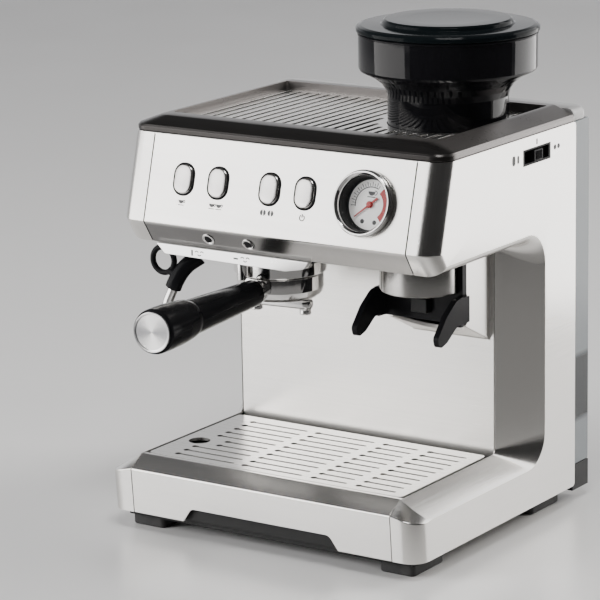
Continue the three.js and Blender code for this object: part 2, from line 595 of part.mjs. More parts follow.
function selector() {
  const { y, z, length, height } = SELECTOR;
  const frame = cut(
    box(137, HALF_WIDTH - 0.1, y - length / 2 + GAP, y + length / 2 - GAP,
      z - height / 2 + GAP, z + height / 2 - GAP),
    box(130, 150, y - 18, y + 18, z - 4.6, z + 4.6));
  add('selector_frame', frame, BLACK);
  const knob = box(134, HALF_WIDTH - 0.2, y - 5, y + 5, z - 4.2, z + 4.2);
  const carriage = box(131.5, 135, y - 14, y + 14, z - 9, z + 9);
  add('grind_selector', join(knob, carriage), BLACK);
}

// ---- water side ----
function water() {
  add('water_pump', turned([
    [0, -40], [16, -40], [16, -20], [20, -20], [20, 20], [16, 20], [16, 40], [0, 40],
  ], COARSE).rotateY(Math.PI / 2).translate(-60, 178, 42), DARK_METAL);
  const outer = join(
    box(-116, 116, 206, REAR_Y + 5, STAND_TOP + GAP, 294),
    box(-TANK_HALF, TANK_HALF, REAR_Y + GAP, TANK_REAR_Y, STAND_TOP + GAP, 303.5));
  const inner = join(
    box(-113.5, 113.5, 208.5, REAR_Y + 5, STAND_TOP + 3, 291.5),
    box(-135.5, 135.5, REAR_Y + 2.8, TANK_REAR_Y - 2.5, STAND_TOP + 3, 310));
  add('water_tank', cut(outer, inner), TANK);
  const lid = alongX([
    [REAR_Y, 303.9], [TANK_REAR_Y, 303.9], [TANK_REAR_Y, 307], [TANK_REAR_Y - 4, 312],
    [REAR_Y + 1, 313.5], [REAR_Y, 313.5],
  ], -TANK_HALF, TANK_HALF);
  add('tank_lid', lid, GREY);
}

sidePanels();
base();
dripTray();
dripGrille();
covers();
frontPanel();
top();
brewGroup();
steamWand();
grinder();
water();

// The machine's frame has its origin under the middle of its box, on the table.
assembly.updateMatrixWorld(true);
const extent = new THREE.Box3().setFromObject(assembly, true);
assembly.position.y = -(extent.min.y + extent.max.y) / 2;

export default assembly;
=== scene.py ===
import json
import math

import bmesh
import bpy
from bpy.props import FloatProperty, FloatVectorProperty, IntProperty, PointerProperty
from mathutils import Matrix, Vector

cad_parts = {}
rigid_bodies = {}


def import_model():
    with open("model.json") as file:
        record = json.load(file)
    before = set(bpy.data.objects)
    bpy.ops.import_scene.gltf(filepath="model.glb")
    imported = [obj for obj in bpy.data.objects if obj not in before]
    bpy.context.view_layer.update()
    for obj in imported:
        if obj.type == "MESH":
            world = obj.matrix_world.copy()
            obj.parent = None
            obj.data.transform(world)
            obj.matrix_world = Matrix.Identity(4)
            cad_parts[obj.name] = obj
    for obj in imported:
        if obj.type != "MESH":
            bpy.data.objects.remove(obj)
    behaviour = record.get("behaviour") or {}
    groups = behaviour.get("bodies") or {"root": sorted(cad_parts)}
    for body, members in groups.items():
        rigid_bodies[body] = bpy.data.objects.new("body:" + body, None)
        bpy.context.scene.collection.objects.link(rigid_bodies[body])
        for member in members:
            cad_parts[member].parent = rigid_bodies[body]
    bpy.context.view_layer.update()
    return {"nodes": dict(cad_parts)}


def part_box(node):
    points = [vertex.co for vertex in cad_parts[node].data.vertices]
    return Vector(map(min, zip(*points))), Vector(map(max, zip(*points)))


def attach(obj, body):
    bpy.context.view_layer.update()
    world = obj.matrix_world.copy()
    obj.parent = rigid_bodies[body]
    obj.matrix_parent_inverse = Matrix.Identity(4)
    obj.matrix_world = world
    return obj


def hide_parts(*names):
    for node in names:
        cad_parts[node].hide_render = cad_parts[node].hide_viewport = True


bl_info = {
    "name": "Espresso machine",
    "version": (1, 0, 0),
    "blender": (4, 5, 0),
    "location": "3D View > Sidebar > Espresso machine",
    "description": "Builds the looks of a home espresso machine around its CAD frame",
    "category": "Add Mesh",
}

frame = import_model()

# ---- places, in millimetres; Y is counted from the foot of the drip tray's face ----
TRAY_LEAN = 2.7
FACE_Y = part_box("drip_tray_front")[0].y * 1000 + TRAY_LEAN


def low(node):
    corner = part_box(node)[0] * 1000
    return Vector((corner.x, corner.y - FACE_Y, corner.z))


def high(node):
    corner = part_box(node)[1] * 1000
    return Vector((corner.x, corner.y - FACE_Y, corner.z))


def middle(node):
    return (low(node) + high(node)) / 2


def half_width(node):
    return (high(node).x - low(node).x) / 2


GAP = 0.3
SHEET = 1.6
FRONT_SHEET = 2.4
CORNER_RADIUS = 14
FOLD_Z = 238.7
CHIN_Y = 34
TRAY_EDGE_Z = 49.3
TRAY_LIP_Y = 12.3
RAIL_SIDE_Z = 45
SPLASH_Y = 148.3
JAMB_Y = 185.4
HEAD_SIDE_Z = 229

HALF_WIDTH = high("side_panel_right").x
SEAM_X = low("side_panel_right").x
FRONT_HALF = high("front_panel").x
STEEL_BOTTOM = low("side_panel_right").z
REAR_Y = high("side_panel_right").y
TRAY_TOP = high("drip_tray_front").z
HEAD_TOP = high("front_panel").z
PANEL_TOP_Y = high("front_panel").y - FRONT_SHEET
FOLD = Vector((0, low("front_panel").y, FOLD_Z))
CHIN = Vector((0, CHIN_Y, low("front_panel").z))
PANEL_LEAN = math.atan2(HEAD_TOP - FOLD.z, PANEL_TOP_Y - FOLD.y)
CHIN_LEAN = math.atan2(FOLD.z - CHIN.z, FOLD.y - CHIN.y)

HOPPER = middle("bean_hopper")
HOPPER_RADIUS = half_width("bean_hopper")
OUTLET = middle("outlet_collar")
OUTLET_RADIUS = half_width("outlet_collar")
GROUP = middle("group_head")
GROUP_RADIUS = half_width("group_head")
HANDLE_REACH = 195
HANDLE_START = 34
HANDLE_TURN = math.radians(6.3)
HANDLE_Z = 189
HANDLE_END_Z = 193.9
HANDLE_RISE = math.atan2(HANDLE_END_Z - HANDLE_Z, HANDLE_REACH - HANDLE_START)

PANEL = Matrix.Translation(FOLD) @ Matrix.Rotation(PANEL_LEAN, 4, "X")
CHIN_FACE = Matrix.Translation(FOLD) @ Matrix.Rotation(CHIN_LEAN, 4, "X")
QUARTER_TURN = math.radians(90)
RIGHT_SIDE = (Matrix.Translation((HALF_WIDTH, 0, 0)) @ Matrix.Rotation(QUARTER_TURN, 4, "Z")
              @ Matrix.Rotation(QUARTER_TURN, 4, "X"))
AT_HOPPER = Matrix.Translation((HOPPER.x, HOPPER.y, 0))
AT_OUTLET = Matrix.Translation((OUTLET.x, OUTLET.y, 0))
AT_GROUP = Matrix.Translation((GROUP.x, GROUP.y, 0))
HANDLE = (AT_GROUP @ Matrix.Rotation(HANDLE_TURN, 4, "Z")
          @ Matrix.Translation((0, -HANDLE_START, HANDLE_Z))
          @ Matrix.Rotation(QUARTER_TURN - HANDLE_RISE, 4, "X"))
TO_METRES = Matrix.Scale(0.001, 4) @ Matrix.Translation((0, FACE_Y, 0))


# ---- settings a user would change ----
class FinishSettings(bpy.types.PropertyGroup):
    steel_colour: FloatVectorProperty(
        name="Steel", description="Colour of the brushed steel", subtype="COLOR", size=3, min=0, max=1,
        default=(0.74, 0.725, 0.70))
    steel_roughness: FloatProperty(
        name="Steel roughness", description="Mean roughness of the brushed steel", subtype="FACTOR",
        min=0.05, max=0.9, default=0.24)
    trim_colour: FloatVectorProperty(
        name="Dark trim", description="Colour of the dark rim round the top", subtype="COLOR", size=3,
        min=0, max=1, default=(0.150, 0.140, 0.135))
    plastic_colour: FloatVectorProperty(
        name="Black plastic", description="Colour of the handle and the cradle", subtype="COLOR", size=3,
        min=0, max=1, default=(0.008, 0.008, 0.009))


class DetailSettings(bpy.types.PropertyGroup):
    round_steps: IntProperty(
        name="Round steps", description="Faces round a large circle", min=24, max=256, default=96)
    edge_radius: FloatProperty(
        name="Edge radius", description="Radius of the small edges", unit="LENGTH", min=0.0001, max=0.002,
        default=0.0004)


class StageSettings(bpy.types.PropertyGroup):
    lens: FloatProperty(
        name="Lens", description="Focal length of the camera", unit="CAMERA", min=50, max=400, default=185.3)
    key_power: FloatProperty(
        name="Key light", description="Power of the large light above the front", unit="POWER", min=0,
        max=500, default=62)
    room_light: FloatProperty(
        name="Room light", description="Brightness of the pale room", min=0, max=3, default=1.15)


def finishes():
    return bpy.context.scene.espresso_finish


def detail():
    return bpy.context.scene.espresso_detail


# ---- shader maths ----
class Value:
    """A number in a node tree. Arithmetic on it adds Math nodes."""

    def __init__(self, tree, socket):
        self.tree = tree
        self.socket = socket

    def maths(self, operation, first, second=None, clamp=False):
        node = self.tree.nodes.new("ShaderNodeMath")
        node.operation = operation
        node.use_clamp = clamp
        for place, value in enumerate((first, second)):
            if isinstance(value, Value):
                self.tree.links.new(value.socket, node.inputs[place])
            elif value is not None:
                node.inputs[place].default_value = value
        return Value(self.tree, node.outputs[0])

    def __add__(self, other):
        return self.maths("ADD", self, other)

    __radd__ = __add__

    def __sub__(self, other):
        return self.maths("SUBTRACT", self, other)

    def __rsub__(self, other):
        return self.maths("SUBTRACT", other, self)

    def __mul__(self, other):
        return self.maths("MULTIPLY", self, other)

    __rmul__ = __mul__

    def __truediv__(self, other):
        return self.maths("DIVIDE", self, other)

    def __pow__(self, other):
        return self.maths("POWER", self, other)

    def above(self, edge, softness):
        """0 below the edge and 1 above it, across the given softness."""
        return self.maths("ADD", (self - edge) / softness, 0.5, clamp=True)

    def absolute(self):
        return self.maths("ABSOLUTE", self)

    def sine(self):
        return self.maths("SINE", self)

    def limited(self):
        return self.maths("ADD", self, 0.0, clamp=True)


class Nodes:
    """A node tree under construction."""

    def __init__(self, tree):
        self.tree = tree
        tree.nodes.clear()

    def node(self, kind, settings=None, **inputs):
        """Adds a node. Settings come first, then values or links; a socket's name has _ for a space."""
        made = self.tree.nodes.new(kind)
        for name, value in (settings or {}).items():
            setattr(made, name, value)
        for name, value in inputs.items():
            self.feed(made.inputs[name.replace("_", " ")], value)
        return made

    def feed(self, socket, value):
        if isinstance(value, Value):
            self.tree.links.new(value.socket, socket)
        elif isinstance(value, bpy.types.NodeSocket):
            self.tree.links.new(value, socket)
        else:
            socket.default_value = value

    def value(self, socket):
        return Value(self.tree, socket)

    def split(self, vector):
        """The three parts of a vector, as values."""
        parts = self.node("ShaderNodeSeparateXYZ", None, Vector=vector)
        return tuple(self.value(socket) for socket in parts.outputs)


class Finish(Nodes):
    """A material under construction: one Principled shader, and the nodes that feed it."""

    def __init__(self, name):
        self.material = bpy.data.materials.new(name)
        self.material.use_nodes = True
        super().__init__(self.material.node_tree)
        self.shader = self.node("ShaderNodeBsdfPrincipled")
        self.node("ShaderNodeOutputMaterial", None, Surface=self.shader.outputs[0])
        self.place = self.node("ShaderNodeTexCoord").outputs["Object"]

    def noise(self, scale, octaves=3.0, stretch=(1, 1, 1), rough=0.55):
        mapped = self.node("ShaderNodeMapping", None, Vector=self.place, Scale=stretch)
        made = self.node("ShaderNodeTexNoise", None, Vector=mapped.outputs[0], Scale=scale,
                         Detail=octaves, Roughness=rough)
        return self.value(made.outputs[0])

    def mix(self, factor, first, second, blend="MIX"):
        """A colour between two others. Either may be a colour or a socket."""
        made = self.node("ShaderNodeMix", {"data_type": "RGBA", "blend_type": blend})
        factor_in, first_in, second_in = (made.inputs[place] for place in (0, 6, 7))
        self.feed(factor_in, factor)
        for socket, colour in ((first_in, first), (second_in, second)):
            self.feed(socket, colour if isinstance(colour, bpy.types.NodeSocket) else (*colour, 1))
        return made.outputs[2]

    def bump(self, height, strength, distance):
        made = self.node("ShaderNodeBump", None, Height=height, Strength=strength, Distance=distance)
        return made.outputs[0]

    def set(self, **inputs):
        for name, value in inputs.items():
            self.feed(self.shader.inputs[name.replace("_", " ")], value)


def scaled(colour, factor):
    return tuple(min(1.0, channel * factor) for channel in colour)


def brushed_steel(name, grain, tint=1.0, rough=0.0, shaded_below=None):
    """Brushed stainless steel. grain is the axis that the brushing runs along.

    shaded_below is (height, softness, how much is left): painted shade, in which the steel below that height
    is darker, most of all at the left.
    """
    made = Finish(name)
    along, across = 9, 1500
    stretch = tuple(along if axis == grain else across for axis in "XYZ")
    fine = made.noise(1.0, 4.0, stretch, 0.7)
    broad = made.noise(1.0, 2.0, tuple(part / 5 for part in stretch), 0.5)
    cloud = made.noise(7.0, 2.0)
    streaks = fine * 0.7 + broad * 0.3
    colour = scaled(finishes().steel_colour, tint)
    base = made.mix((streaks * 0.7 + cloud * 0.3).above(0.5, 0.5), scaled(colour, 0.90),
                    scaled(colour, 1.06))
    if shaded_below:
        height, softness, left = shaded_below
        # Painted shade: the steel below the height is darker, most of all at the left.
        rightward, _, upward = made.split(made.place)
        shaded = (1.0 - upward.above(height, softness)) * (1.0 - rightward.above(0.06, 0.22) * 0.45)
        base = made.mix(shaded, base, (left, left, left * 1.02), "MULTIPLY")
    made.set(
        Base_Color=base,
        Metallic=1.0,
        Roughness=(streaks - 0.5) * 0.16 + (cloud - 0.5) * 0.05 + (finishes().steel_roughness + rough),
        Normal=made.bump(streaks, 0.10, 0.0003))
    return made.material


def polished_metal(name, colour=(0.80, 0.79, 0.78), roughness=0.09):
    made = Finish(name)
    smear = made.noise(60.0, 4.0)
    speck = made.noise(420.0, 3.0)
    made.set(
        Base_Color=made.mix(smear, scaled(colour, 0.94), colour),
        Metallic=1.0,
        Roughness=(smear - 0.5) * 0.10 + (speck - 0.5) * 0.05 + roughness,
        Normal=made.bump(speck, 0.03, 0.0002))
    return made.material


PAINTED_REFLECTION_DEPTH = 55


def dark_trim(name):
    """Dark coated metal, with a painted dark reflection that makes it darker still along the front."""
    made = Finish(name)
    grain = made.noise(1.0, 3.0, (16, 700, 700), 0.6)
    cloud = made.noise(25.0, 2.0)
    _, rearward, _ = made.split(made.place)
    # Painted reflection: the band along the front, up to this depth from the face, is painted darker.
    outside_painted_reflection = rearward.above((FACE_Y + PAINTED_REFLECTION_DEPTH) / 1000, 0.006)
    colour = tuple(finishes().trim_colour)
    made.set(
        Base_Color=made.mix((outside_painted_reflection * 0.85 + (grain + cloud) * 0.08).limited(), scaled(colour, 0.15),
                            scaled(colour, 1.15)),
        Metallic=0.75,
        Roughness=(grain - 0.5) * 0.12 + (cloud - 0.5) * 0.08 + 0.30,
        Specular_IOR_Level=0.3,
        Normal=made.bump(grain, 0.08, 0.0003))
    return made.material


def plastic(name, colour, roughness, texture=0.05, sheen=0.5, scale=900.0):
    """Moulded plastic. Without a colour it has the settings' black."""
    made = Finish(name)
    colour = colour or tuple(finishes().plastic_colour)
    skin = made.noise(scale, 3.0)
    wear = made.noise(35.0, 4.0)
    made.set(
        Base_Color=made.mix(wear, scaled(colour, 0.85), scaled(colour, 1.25)),
        Roughness=(wear - 0.5) * 0.14 + (skin - 0.5) * 0.08 + roughness,
        Specular_IOR_Level=sheen,
        Normal=made.bump(skin, texture, 0.0003))
    return made.material


def rubber(name):
    made = Finish(name)
    skin = made.noise(500.0, 5.0)
    dust = made.noise(40.0, 3.0)
    made.set(
        Base_Color=made.mix(dust.above(0.6, 0.3), (0.012, 0.012, 0.012), (0.028, 0.027, 0.026)),
        Roughness=skin * 0.2 + 0.62,
        Normal=made.bump(skin, 0.25, 0.0003))
    return made.material


def smoked(name, colour, cover, roughness, sheen=0.22):
    """See-through plastic. cover is how much of what lies behind it is hidden."""
    made = Finish(name)
    swirl = made.noise(18.0, 2.0)
    smear = made.noise(90.0, 4.0)
    made.set(
        Base_Color=made.mix(swirl, scaled(colour, 0.8), scaled(colour, 1.3)),
        Roughness=(smear - 0.5) * 0.06 + roughness,
        Alpha=(swirl - 0.5) * 0.06 + cover,
        Specular_IOR_Level=sheen,
        Normal=made.bump(swirl, 0.03, 0.002))
    return made.material


TANK_BAND = (0.066, 0.118)


def tank_plastic(name):
    """Smoky blue-grey plastic, with a darker band low on the tank's two sides."""
    made = Finish(name)
    swirl = made.noise(18.0, 2.0)
    smear = made.noise(90.0, 4.0)
    rightward, _, upward = made.split(made.place)
    at_side = rightward.absolute().above(0.131, 0.004)
    bottom, top = TANK_BAND
    dark_zone = upward.above(bottom, 0.005) * (1.0 - upward.above(top, 0.005)) * at_side
    made.set(
        Base_Color=made.mix((dark_zone * 0.85 + swirl * 0.15).limited(), (0.27, 0.295, 0.31),
                            (0.010, 0.012, 0.014)),
        Roughness=(smear - 0.5) * 0.06 + 0.22,
        Alpha=(swirl - 0.5) * 0.04 + 0.93,
        Specular_IOR_Level=0.3,
        Normal=made.bump(swirl, 0.03, 0.002))
    return made.material


def clear_glass(name):
    made = Finish(name)
    smear = made.noise(120.0, 3.0)
    made.set(
        Base_Color=made.mix(smear, (0.02, 0.022, 0.024), (0.04, 0.042, 0.044)),
        Roughness=smear * 0.03 + 0.01,
        Specular_IOR_Level=0.05,
        Alpha=smear * 0.02 + 0.03)
    return made.material


RING_RADIANS_PER_METRE = 9000.0


def turned_face(name, centre, turn):
    """Aluminium turned on a lathe: fine rings, and two bright and two dark sectors painted in its colour, a
    painted highlight and painted shade.
    """
    made = Finish(name)
    mapped = made.node("ShaderNodeMapping", {"vector_type": "TEXTURE"}, Vector=made.place, Location=centre,
                       Rotation=turn)
    across, upward, _ = made.split(mapped.outputs[0])
    squares = across * across + upward * upward
    rings = (squares ** 0.5 * RING_RADIANS_PER_METRE).sine()
    # Painted highlight: two opposite sectors are painted bright and the two between them dark.
    painted_highlight_sector = (across * across - upward * upward) / (squares + 0.0000001)
    blur = made.noise(500.0, 3.0)
    made.set(
        Base_Color=made.mix((painted_highlight_sector * 0.5 + 0.5 + (blur - 0.5) * 0.2).limited(), (1.0, 0.99, 0.98),
                            (0.30, 0.30, 0.31)),
        Metallic=1.0,
        Roughness=rings * 0.04 + 0.26,
        Normal=made.bump(rings, 0.10, 0.0002))
    return made.material


def printed(name, colour, roughness=0.5, painted_glow=0.0):
    made = Finish(name)
    fibre = made.noise(700.0, 3.0)
    made.set(
        Emission_Color=made.mix(fibre, scaled(colour, 0.93), colour),
        # Emission here is painted light: it makes a printed part glow.
        Emission_Strength=painted_glow,
        Base_Color=made.mix(fibre, scaled(colour, 0.93), scaled(colour, 1.04)),
        Roughness=fibre * 0.15 + roughness,
        Normal=made.bump(fibre, 0.05, 0.0001))
    return made.material


# The top of the painted shade on the front steel, just under the fold.
FOLD_SHADE = (FOLD_Z - 1) / 1000

RECIPES = {
    "steel_front": (brushed_steel, "Brushed steel front", "X", 1.0, 0.0, (FOLD_SHADE, 0.003, 0.30)),
    "steel_side": (brushed_steel, "Brushed steel sides", "Y", 1.0, -0.06),
    "steel_tray": (brushed_steel, "Brushed steel tray", "X"),
    "steel_grille": (brushed_steel, "Brushed steel grille", "X", 1.0, 0.05),
    "steel_splash": (brushed_steel, "Brushed steel splash plate", "X", 1.0, 0.06),
    # The collar's steel is a darker copy of the brushed steel: painted shade.
    "steel_collar": (brushed_steel, "Brushed steel collar", "Z", 0.66, -0.02),
    "steel_warmer": (brushed_steel, "Cup warmer steel", "Y", 0.95, 0.02),
    "chrome": (polished_metal, "Chrome"),
    "button": (polished_metal, "Button chrome", (0.60, 0.585, 0.57), 0.20),
    "label": (polished_metal, "Label plate", (0.88, 0.88, 0.87), 0.3),
    "satin_chrome": (polished_metal, "Satin chrome", (0.72, 0.71, 0.70), 0.2),
    "brass": (polished_metal, "Brass", (0.62, 0.45, 0.22), 0.3),
    "trim": (dark_trim, "Dark trim"),
    "black": (plastic, "Black plastic", None, 0.15, 0.02, 0.06),
    "grip": (plastic, "Handle grip", None, 0.16, 0.02, 0.04),
    "black_matt": (plastic, "Matt black plastic", (0.008, 0.008, 0.008), 0.5, 0.12, 0.25),
    "lid_grey": (plastic, "Tank lid grey", (0.38, 0.375, 0.37), 0.32, 0.05),
    "grey": (plastic, "Silver-grey plastic", (0.42, 0.42, 0.42), 0.36, 0.06),
    "casting": (plastic, "Painted casting", (0.10, 0.10, 0.10), 0.55, 0.2, 0.3, 300.0),
    "rubber": (rubber, "Black rubber"),
    "hopper": (smoked, "Smoked hopper", (0.006, 0.006, 0.007), 0.975, 0.05),
    "lid": (smoked, "Smoked lid", (0.005, 0.007, 0.008), 0.985, 0.10, 0.05),
    "tank": (tank_plastic, "Smoked tank"),
    "glass": (clear_glass, "Gauge glass"),
    # The dial card glows a little: painted light that brightens it.
    "dial": (printed, "Dial card", (0.86, 0.85, 0.83), 0.5, 0.25),
    "ink": (printed, "Dark print", (0.03, 0.03, 0.03)),
    "red": (printed, "Red print", (0.38, 0.004, 0.004), 0.45),
}
LOOKS = {}


def look(name):
    """Makes a material the first time that it is asked for."""
    if name not in LOOKS:
        recipe, *values = RECIPES[name]
        LOOKS[name] = recipe(*values)
    return LOOKS[name]


# ---- mesh helpers: everything is drawn in millimetres and brought to metres at the end ----
def rounded(corners, radius, steps=6):
    """A closed outline with its corners rounded. A corner is (a, b) or (a, b, its own radius)."""
    outline = []
    for index, corner in enumerate(corners):
        here = Vector(corner[:2])
        before = Vector(corners[index - 1][:2])
        after = Vector(corners[(index + 1) % len(corners)][:2])
        wanted = corner[2] if len(corner) > 2 else radius
        inward = (before - here).normalized()
        onward = (after - here).normalized()
        half = inward.angle(onward) / 2
        if wanted <= 0:
            outline.append(tuple(here))
            continue
        if half > math.radians(89):
            outline += [tuple(here + inward * wanted * (1 - 2 * step / steps)) for step in range(steps + 1)]
            continue
        reach = wanted / math.tan(half)
        centre = here + (inward + onward).normalized() * (wanted / math.sin(half))
        start = here + inward * reach - centre
        end = here + onward * reach - centre
        sweep = start.angle_signed(end)
        for step in range(steps + 1):
            turned_to = start.copy()
            turned_to.rotate(Matrix.Rotation(-sweep * step / steps, 2))
            outline.append(tuple(centre + turned_to))
    return outline


def rectangle(x0, x1, y0, y1):
    return [(x0, y0), (x1, y0), (x1, y1), (x0, y1)]


def circle(radius, centre=(0, 0), steps=48):
    return [(centre[0] + radius * math.cos(2 * math.pi * step / steps),
             centre[1] + radius * math.sin(2 * math.pi * step / steps)) for step in range(steps)]


def spread(axis, a, b, along):
    """The place of a point (a, b) of a flat outline that stands across an axis."""
    return {"X": (along, a, b), "Y": (a, along, b), "Z": (a, b, along)}[axis]


def loop(bm, outline, axis, along):
    return [bm.verts.new(spread(axis, a, b, along)) for a, b in outline]


def lofted(sections, ring=False):
    """Skins a row of loops, point to point, and closes it into a ring or with a face at each end.

    A section is (outline, axis, place along it). All outlines have the same number of points.
    """
    bm = bmesh.new()
    loops = [loop(bm, *section) for section in sections]
    pairs = list(zip(loops, loops[1:]))
    if ring:
        pairs.append((loops[-1], loops[0]))
    else:
        bm.faces.new(loops[0])
        bm.faces.new(loops[-1])
    for verts, next_verts in pairs:
        for index in range(len(verts)):
            bm.faces.new((verts[index - 1], verts[index], next_verts[index], next_verts[index - 1]))
    bmesh.ops.recalc_face_normals(bm, faces=bm.faces)
    return bm


def prism(outline, axis, start, end):
    """A flat outline drawn out along an axis."""
    bm = bmesh.new()
    base = bm.faces.new(loop(bm, outline, axis, start))
    grown = bmesh.ops.extrude_face_region(bm, geom=[base], use_keep_orig=True)["geom"]
    risen = [item for item in grown if isinstance(item, bmesh.types.BMVert)]
    bmesh.ops.translate(bm, verts=risen, vec=spread(axis, 0, 0, end - start))
    bmesh.ops.recalc_face_normals(bm, faces=bm.faces)
    return bm


def block(x0, x1, y0, y1, z0, z1):
    bm = bmesh.new()
    bmesh.ops.create_cube(bm, size=1)
    bmesh.ops.scale(bm, verts=bm.verts, vec=(x1 - x0, y1 - y0, z1 - z0))
    bmesh.ops.translate(bm, verts=bm.verts, vec=((x0 + x1) / 2, (y0 + y1) / 2, (z0 + z1) / 2))
    return bm


def turned(profile, radius=0.0, steps=None, ring=False):
    """A solid of revolution about Z. Its profile is (radius, z), from axis to axis, or closed as a ring."""
    bm = bmesh.new()
    corners = profile if ring else [(*profile[0], 0), *profile[1:-1], (*profile[-1], 0)]
    verts = [bm.verts.new((reach, 0, height)) for reach, height in rounded(corners, radius, 4)]
    edges = [bm.edges.new(pair) for pair in zip(verts, verts[1:])]
    if ring:
        edges.append(bm.edges.new((verts[-1], verts[0])))
    bmesh.ops.spin(bm, geom=verts + edges, cent=(0, 0, 0), axis=(0, 0, 1), dvec=(0, 0, 0),
                   angle=2 * math.pi, steps=steps or detail().round_steps, use_merge=True,
                   use_duplicate=False)
    bmesh.ops.remove_doubles(bm, verts=bm.verts, dist=0.0005)
    bmesh.ops.recalc_face_normals(bm, faces=bm.faces)
    return bm


def placed(bm, matrix):
    bmesh.ops.transform(bm, matrix=matrix, verts=bm.verts)
    return bm


def joined(*parts):
    """Puts several meshes together as separate shells of one piece."""
    whole = bmesh.new()
    for part in parts:
        carrier = bpy.data.meshes.new("carrier")
        part.to_mesh(carrier)
        part.free()
        whole.from_mesh(carrier)
        bpy.data.meshes.remove(carrier)
    return whole


def new_object(name, bm, in_metres=False):
    mesh = bpy.data.meshes.new(name)
    if not in_metres:
        bmesh.ops.transform(bm, matrix=TO_METRES, verts=bm.verts)
    bm.to_mesh(mesh)
    bm.free()
    made = bpy.data.objects.new(name, mesh)
    bpy.context.scene.collection.objects.link(made)
    return made


def cut(body, *tools):
    """The mesh left when shapes are cut from another. The shapes don't overlap each other."""
    base = new_object("base", body)
    other = new_object("tool", joined(*tools))
    modifier = base.modifiers.new("cut", "BOOLEAN")
    modifier.operation = "DIFFERENCE"
    modifier.solver = "EXACT"
    modifier.object = other
    bpy.context.view_layer.update()
    evaluated = base.evaluated_get(bpy.context.evaluated_depsgraph_get())
    bm = bmesh.new()
    bm.from_mesh(evaluated.to_mesh())
    bmesh.ops.transform(bm, matrix=TO_METRES.inverted(), verts=bm.verts)
    for spare in (base, other):
        mesh = spare.data
        bpy.data.objects.remove(spare)
        bpy.data.meshes.remove(mesh)
    return bm


def piece(name, bm, body, material, replaces=(), edge=None, wall=0.0, smooth=35, in_metres=False):
    """Finishes a mesh as a named piece of the machine that moves with a CAD body.

    edge is the radius of its small edges, wall the thickness of a skin, and smooth the largest angle
    in degrees that is shaded as round. replaces names the CAD nodes that the piece stands for.
    """
    made = new_object(name, bm, in_metres)
    made.data.materials.append(look(material) if isinstance(material, str) else material)
    made.data.shade_smooth()
    made.data.set_sharp_from_angle(angle=math.radians(smooth))
    if wall:
        shell = made.modifiers.new("wall", "SOLIDIFY")
        shell.thickness = wall / 1000
        shell.offset = -1
        shell.use_even_offset = True
    width = detail().edge_radius if edge is None else edge / 1000
    if width > 0:
        rounding = made.modifiers.new("edges", "BEVEL")
        rounding.width = width
        rounding.segments = 2
        rounding.limit_method = "ANGLE"
        rounding.angle_limit = math.radians(32)
        rounding.harden_normals = True
        rounding.use_clamp_overlap = True
    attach(made, body)
    if replaces:
        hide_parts(*replaces)
    return made


def refined(node, name, body, material, edge=0.5, smooth=30):
    """A copy of a CAD node with its triangles merged into clean faces and its edges softened."""
    bm = bmesh.new()
    bm.from_mesh(frame["nodes"][node].data)
    bmesh.ops.remove_doubles(bm, verts=bm.verts, dist=0.00001)
    bmesh.ops.dissolve_limit(bm, angle_limit=math.radians(1), verts=bm.verts, edges=bm.edges)
    return piece(name, bm, body, material, (node,), edge, smooth=smooth, in_metres=True)


def along_curve(points, radius):
    """A round bar along a smooth curve through the given points."""
    curve = bpy.data.curves.new("bar", "CURVE")
    curve.dimensions = "3D"
    curve.bevel_depth = radius
    curve.bevel_resolution = 8
    curve.use_fill_caps = True
    spline = curve.splines.new("BEZIER")
    spline.bezier_points.add(len(points) - 1)
    for knot, point in zip(spline.bezier_points, points):
        knot.co = point
        knot.handle_left_type = "AUTO"
        knot.handle_right_type = "AUTO"
    spline.resolution_u = 16
    carrier = bpy.data.objects.new("bar", curve)
    bpy.context.scene.collection.objects.link(carrier)
    bpy.context.view_layer.update()
    mesh = bpy.data.meshes.new_from_object(carrier.evaluated_get(bpy.context.evaluated_depsgraph_get()))
    bpy.data.objects.remove(carrier)
    bpy.data.curves.remove(curve)
    bm = bmesh.new()
    bm.from_mesh(mesh)
    bpy.data.meshes.remove(mesh)
    bmesh.ops.remove_doubles(bm, verts=bm.verts, dist=0.001)
    bmesh.ops.recalc_face_normals(bm, faces=bm.faces)
    return bm


def pill(width, height, radius, centre=(0, 0), steps=8):
    x, y = centre
    corners = rectangle(x - width / 2, x + width / 2, y - height / 2, y + height / 2)
    return rounded(corners, radius, steps)


def arc_band(inner, outer, start, end, centre, steps=24):
    """A flat piece of a ring. Angles in degrees, clockwise from straight up."""
    def at(radius, angle):
        return (centre[0] + radius * math.sin(math.radians(angle)),
                centre[1] + radius * math.cos(math.radians(angle)))
    angles = [start + (end - start) * step / steps for step in range(steps + 1)]
    return [at(outer, angle) for angle in angles] + [at(inner, angle) for angle in reversed(angles)]


def thin(outline, z=0.0, thickness=0.12):
    return prism(outline, "Z", z, z + thickness)


# ---- the covers ----
CHIN_SIDE_Y = CHIN.y - (HEAD_SIDE_Z - CHIN.z) * (CHIN.y - FOLD.y) / (FOLD.z - CHIN.z)
BAY_CORNER = 25
SELECTOR = middle("selector_frame")
SELECTOR_SIZE = high("selector_frame") - low("selector_frame")


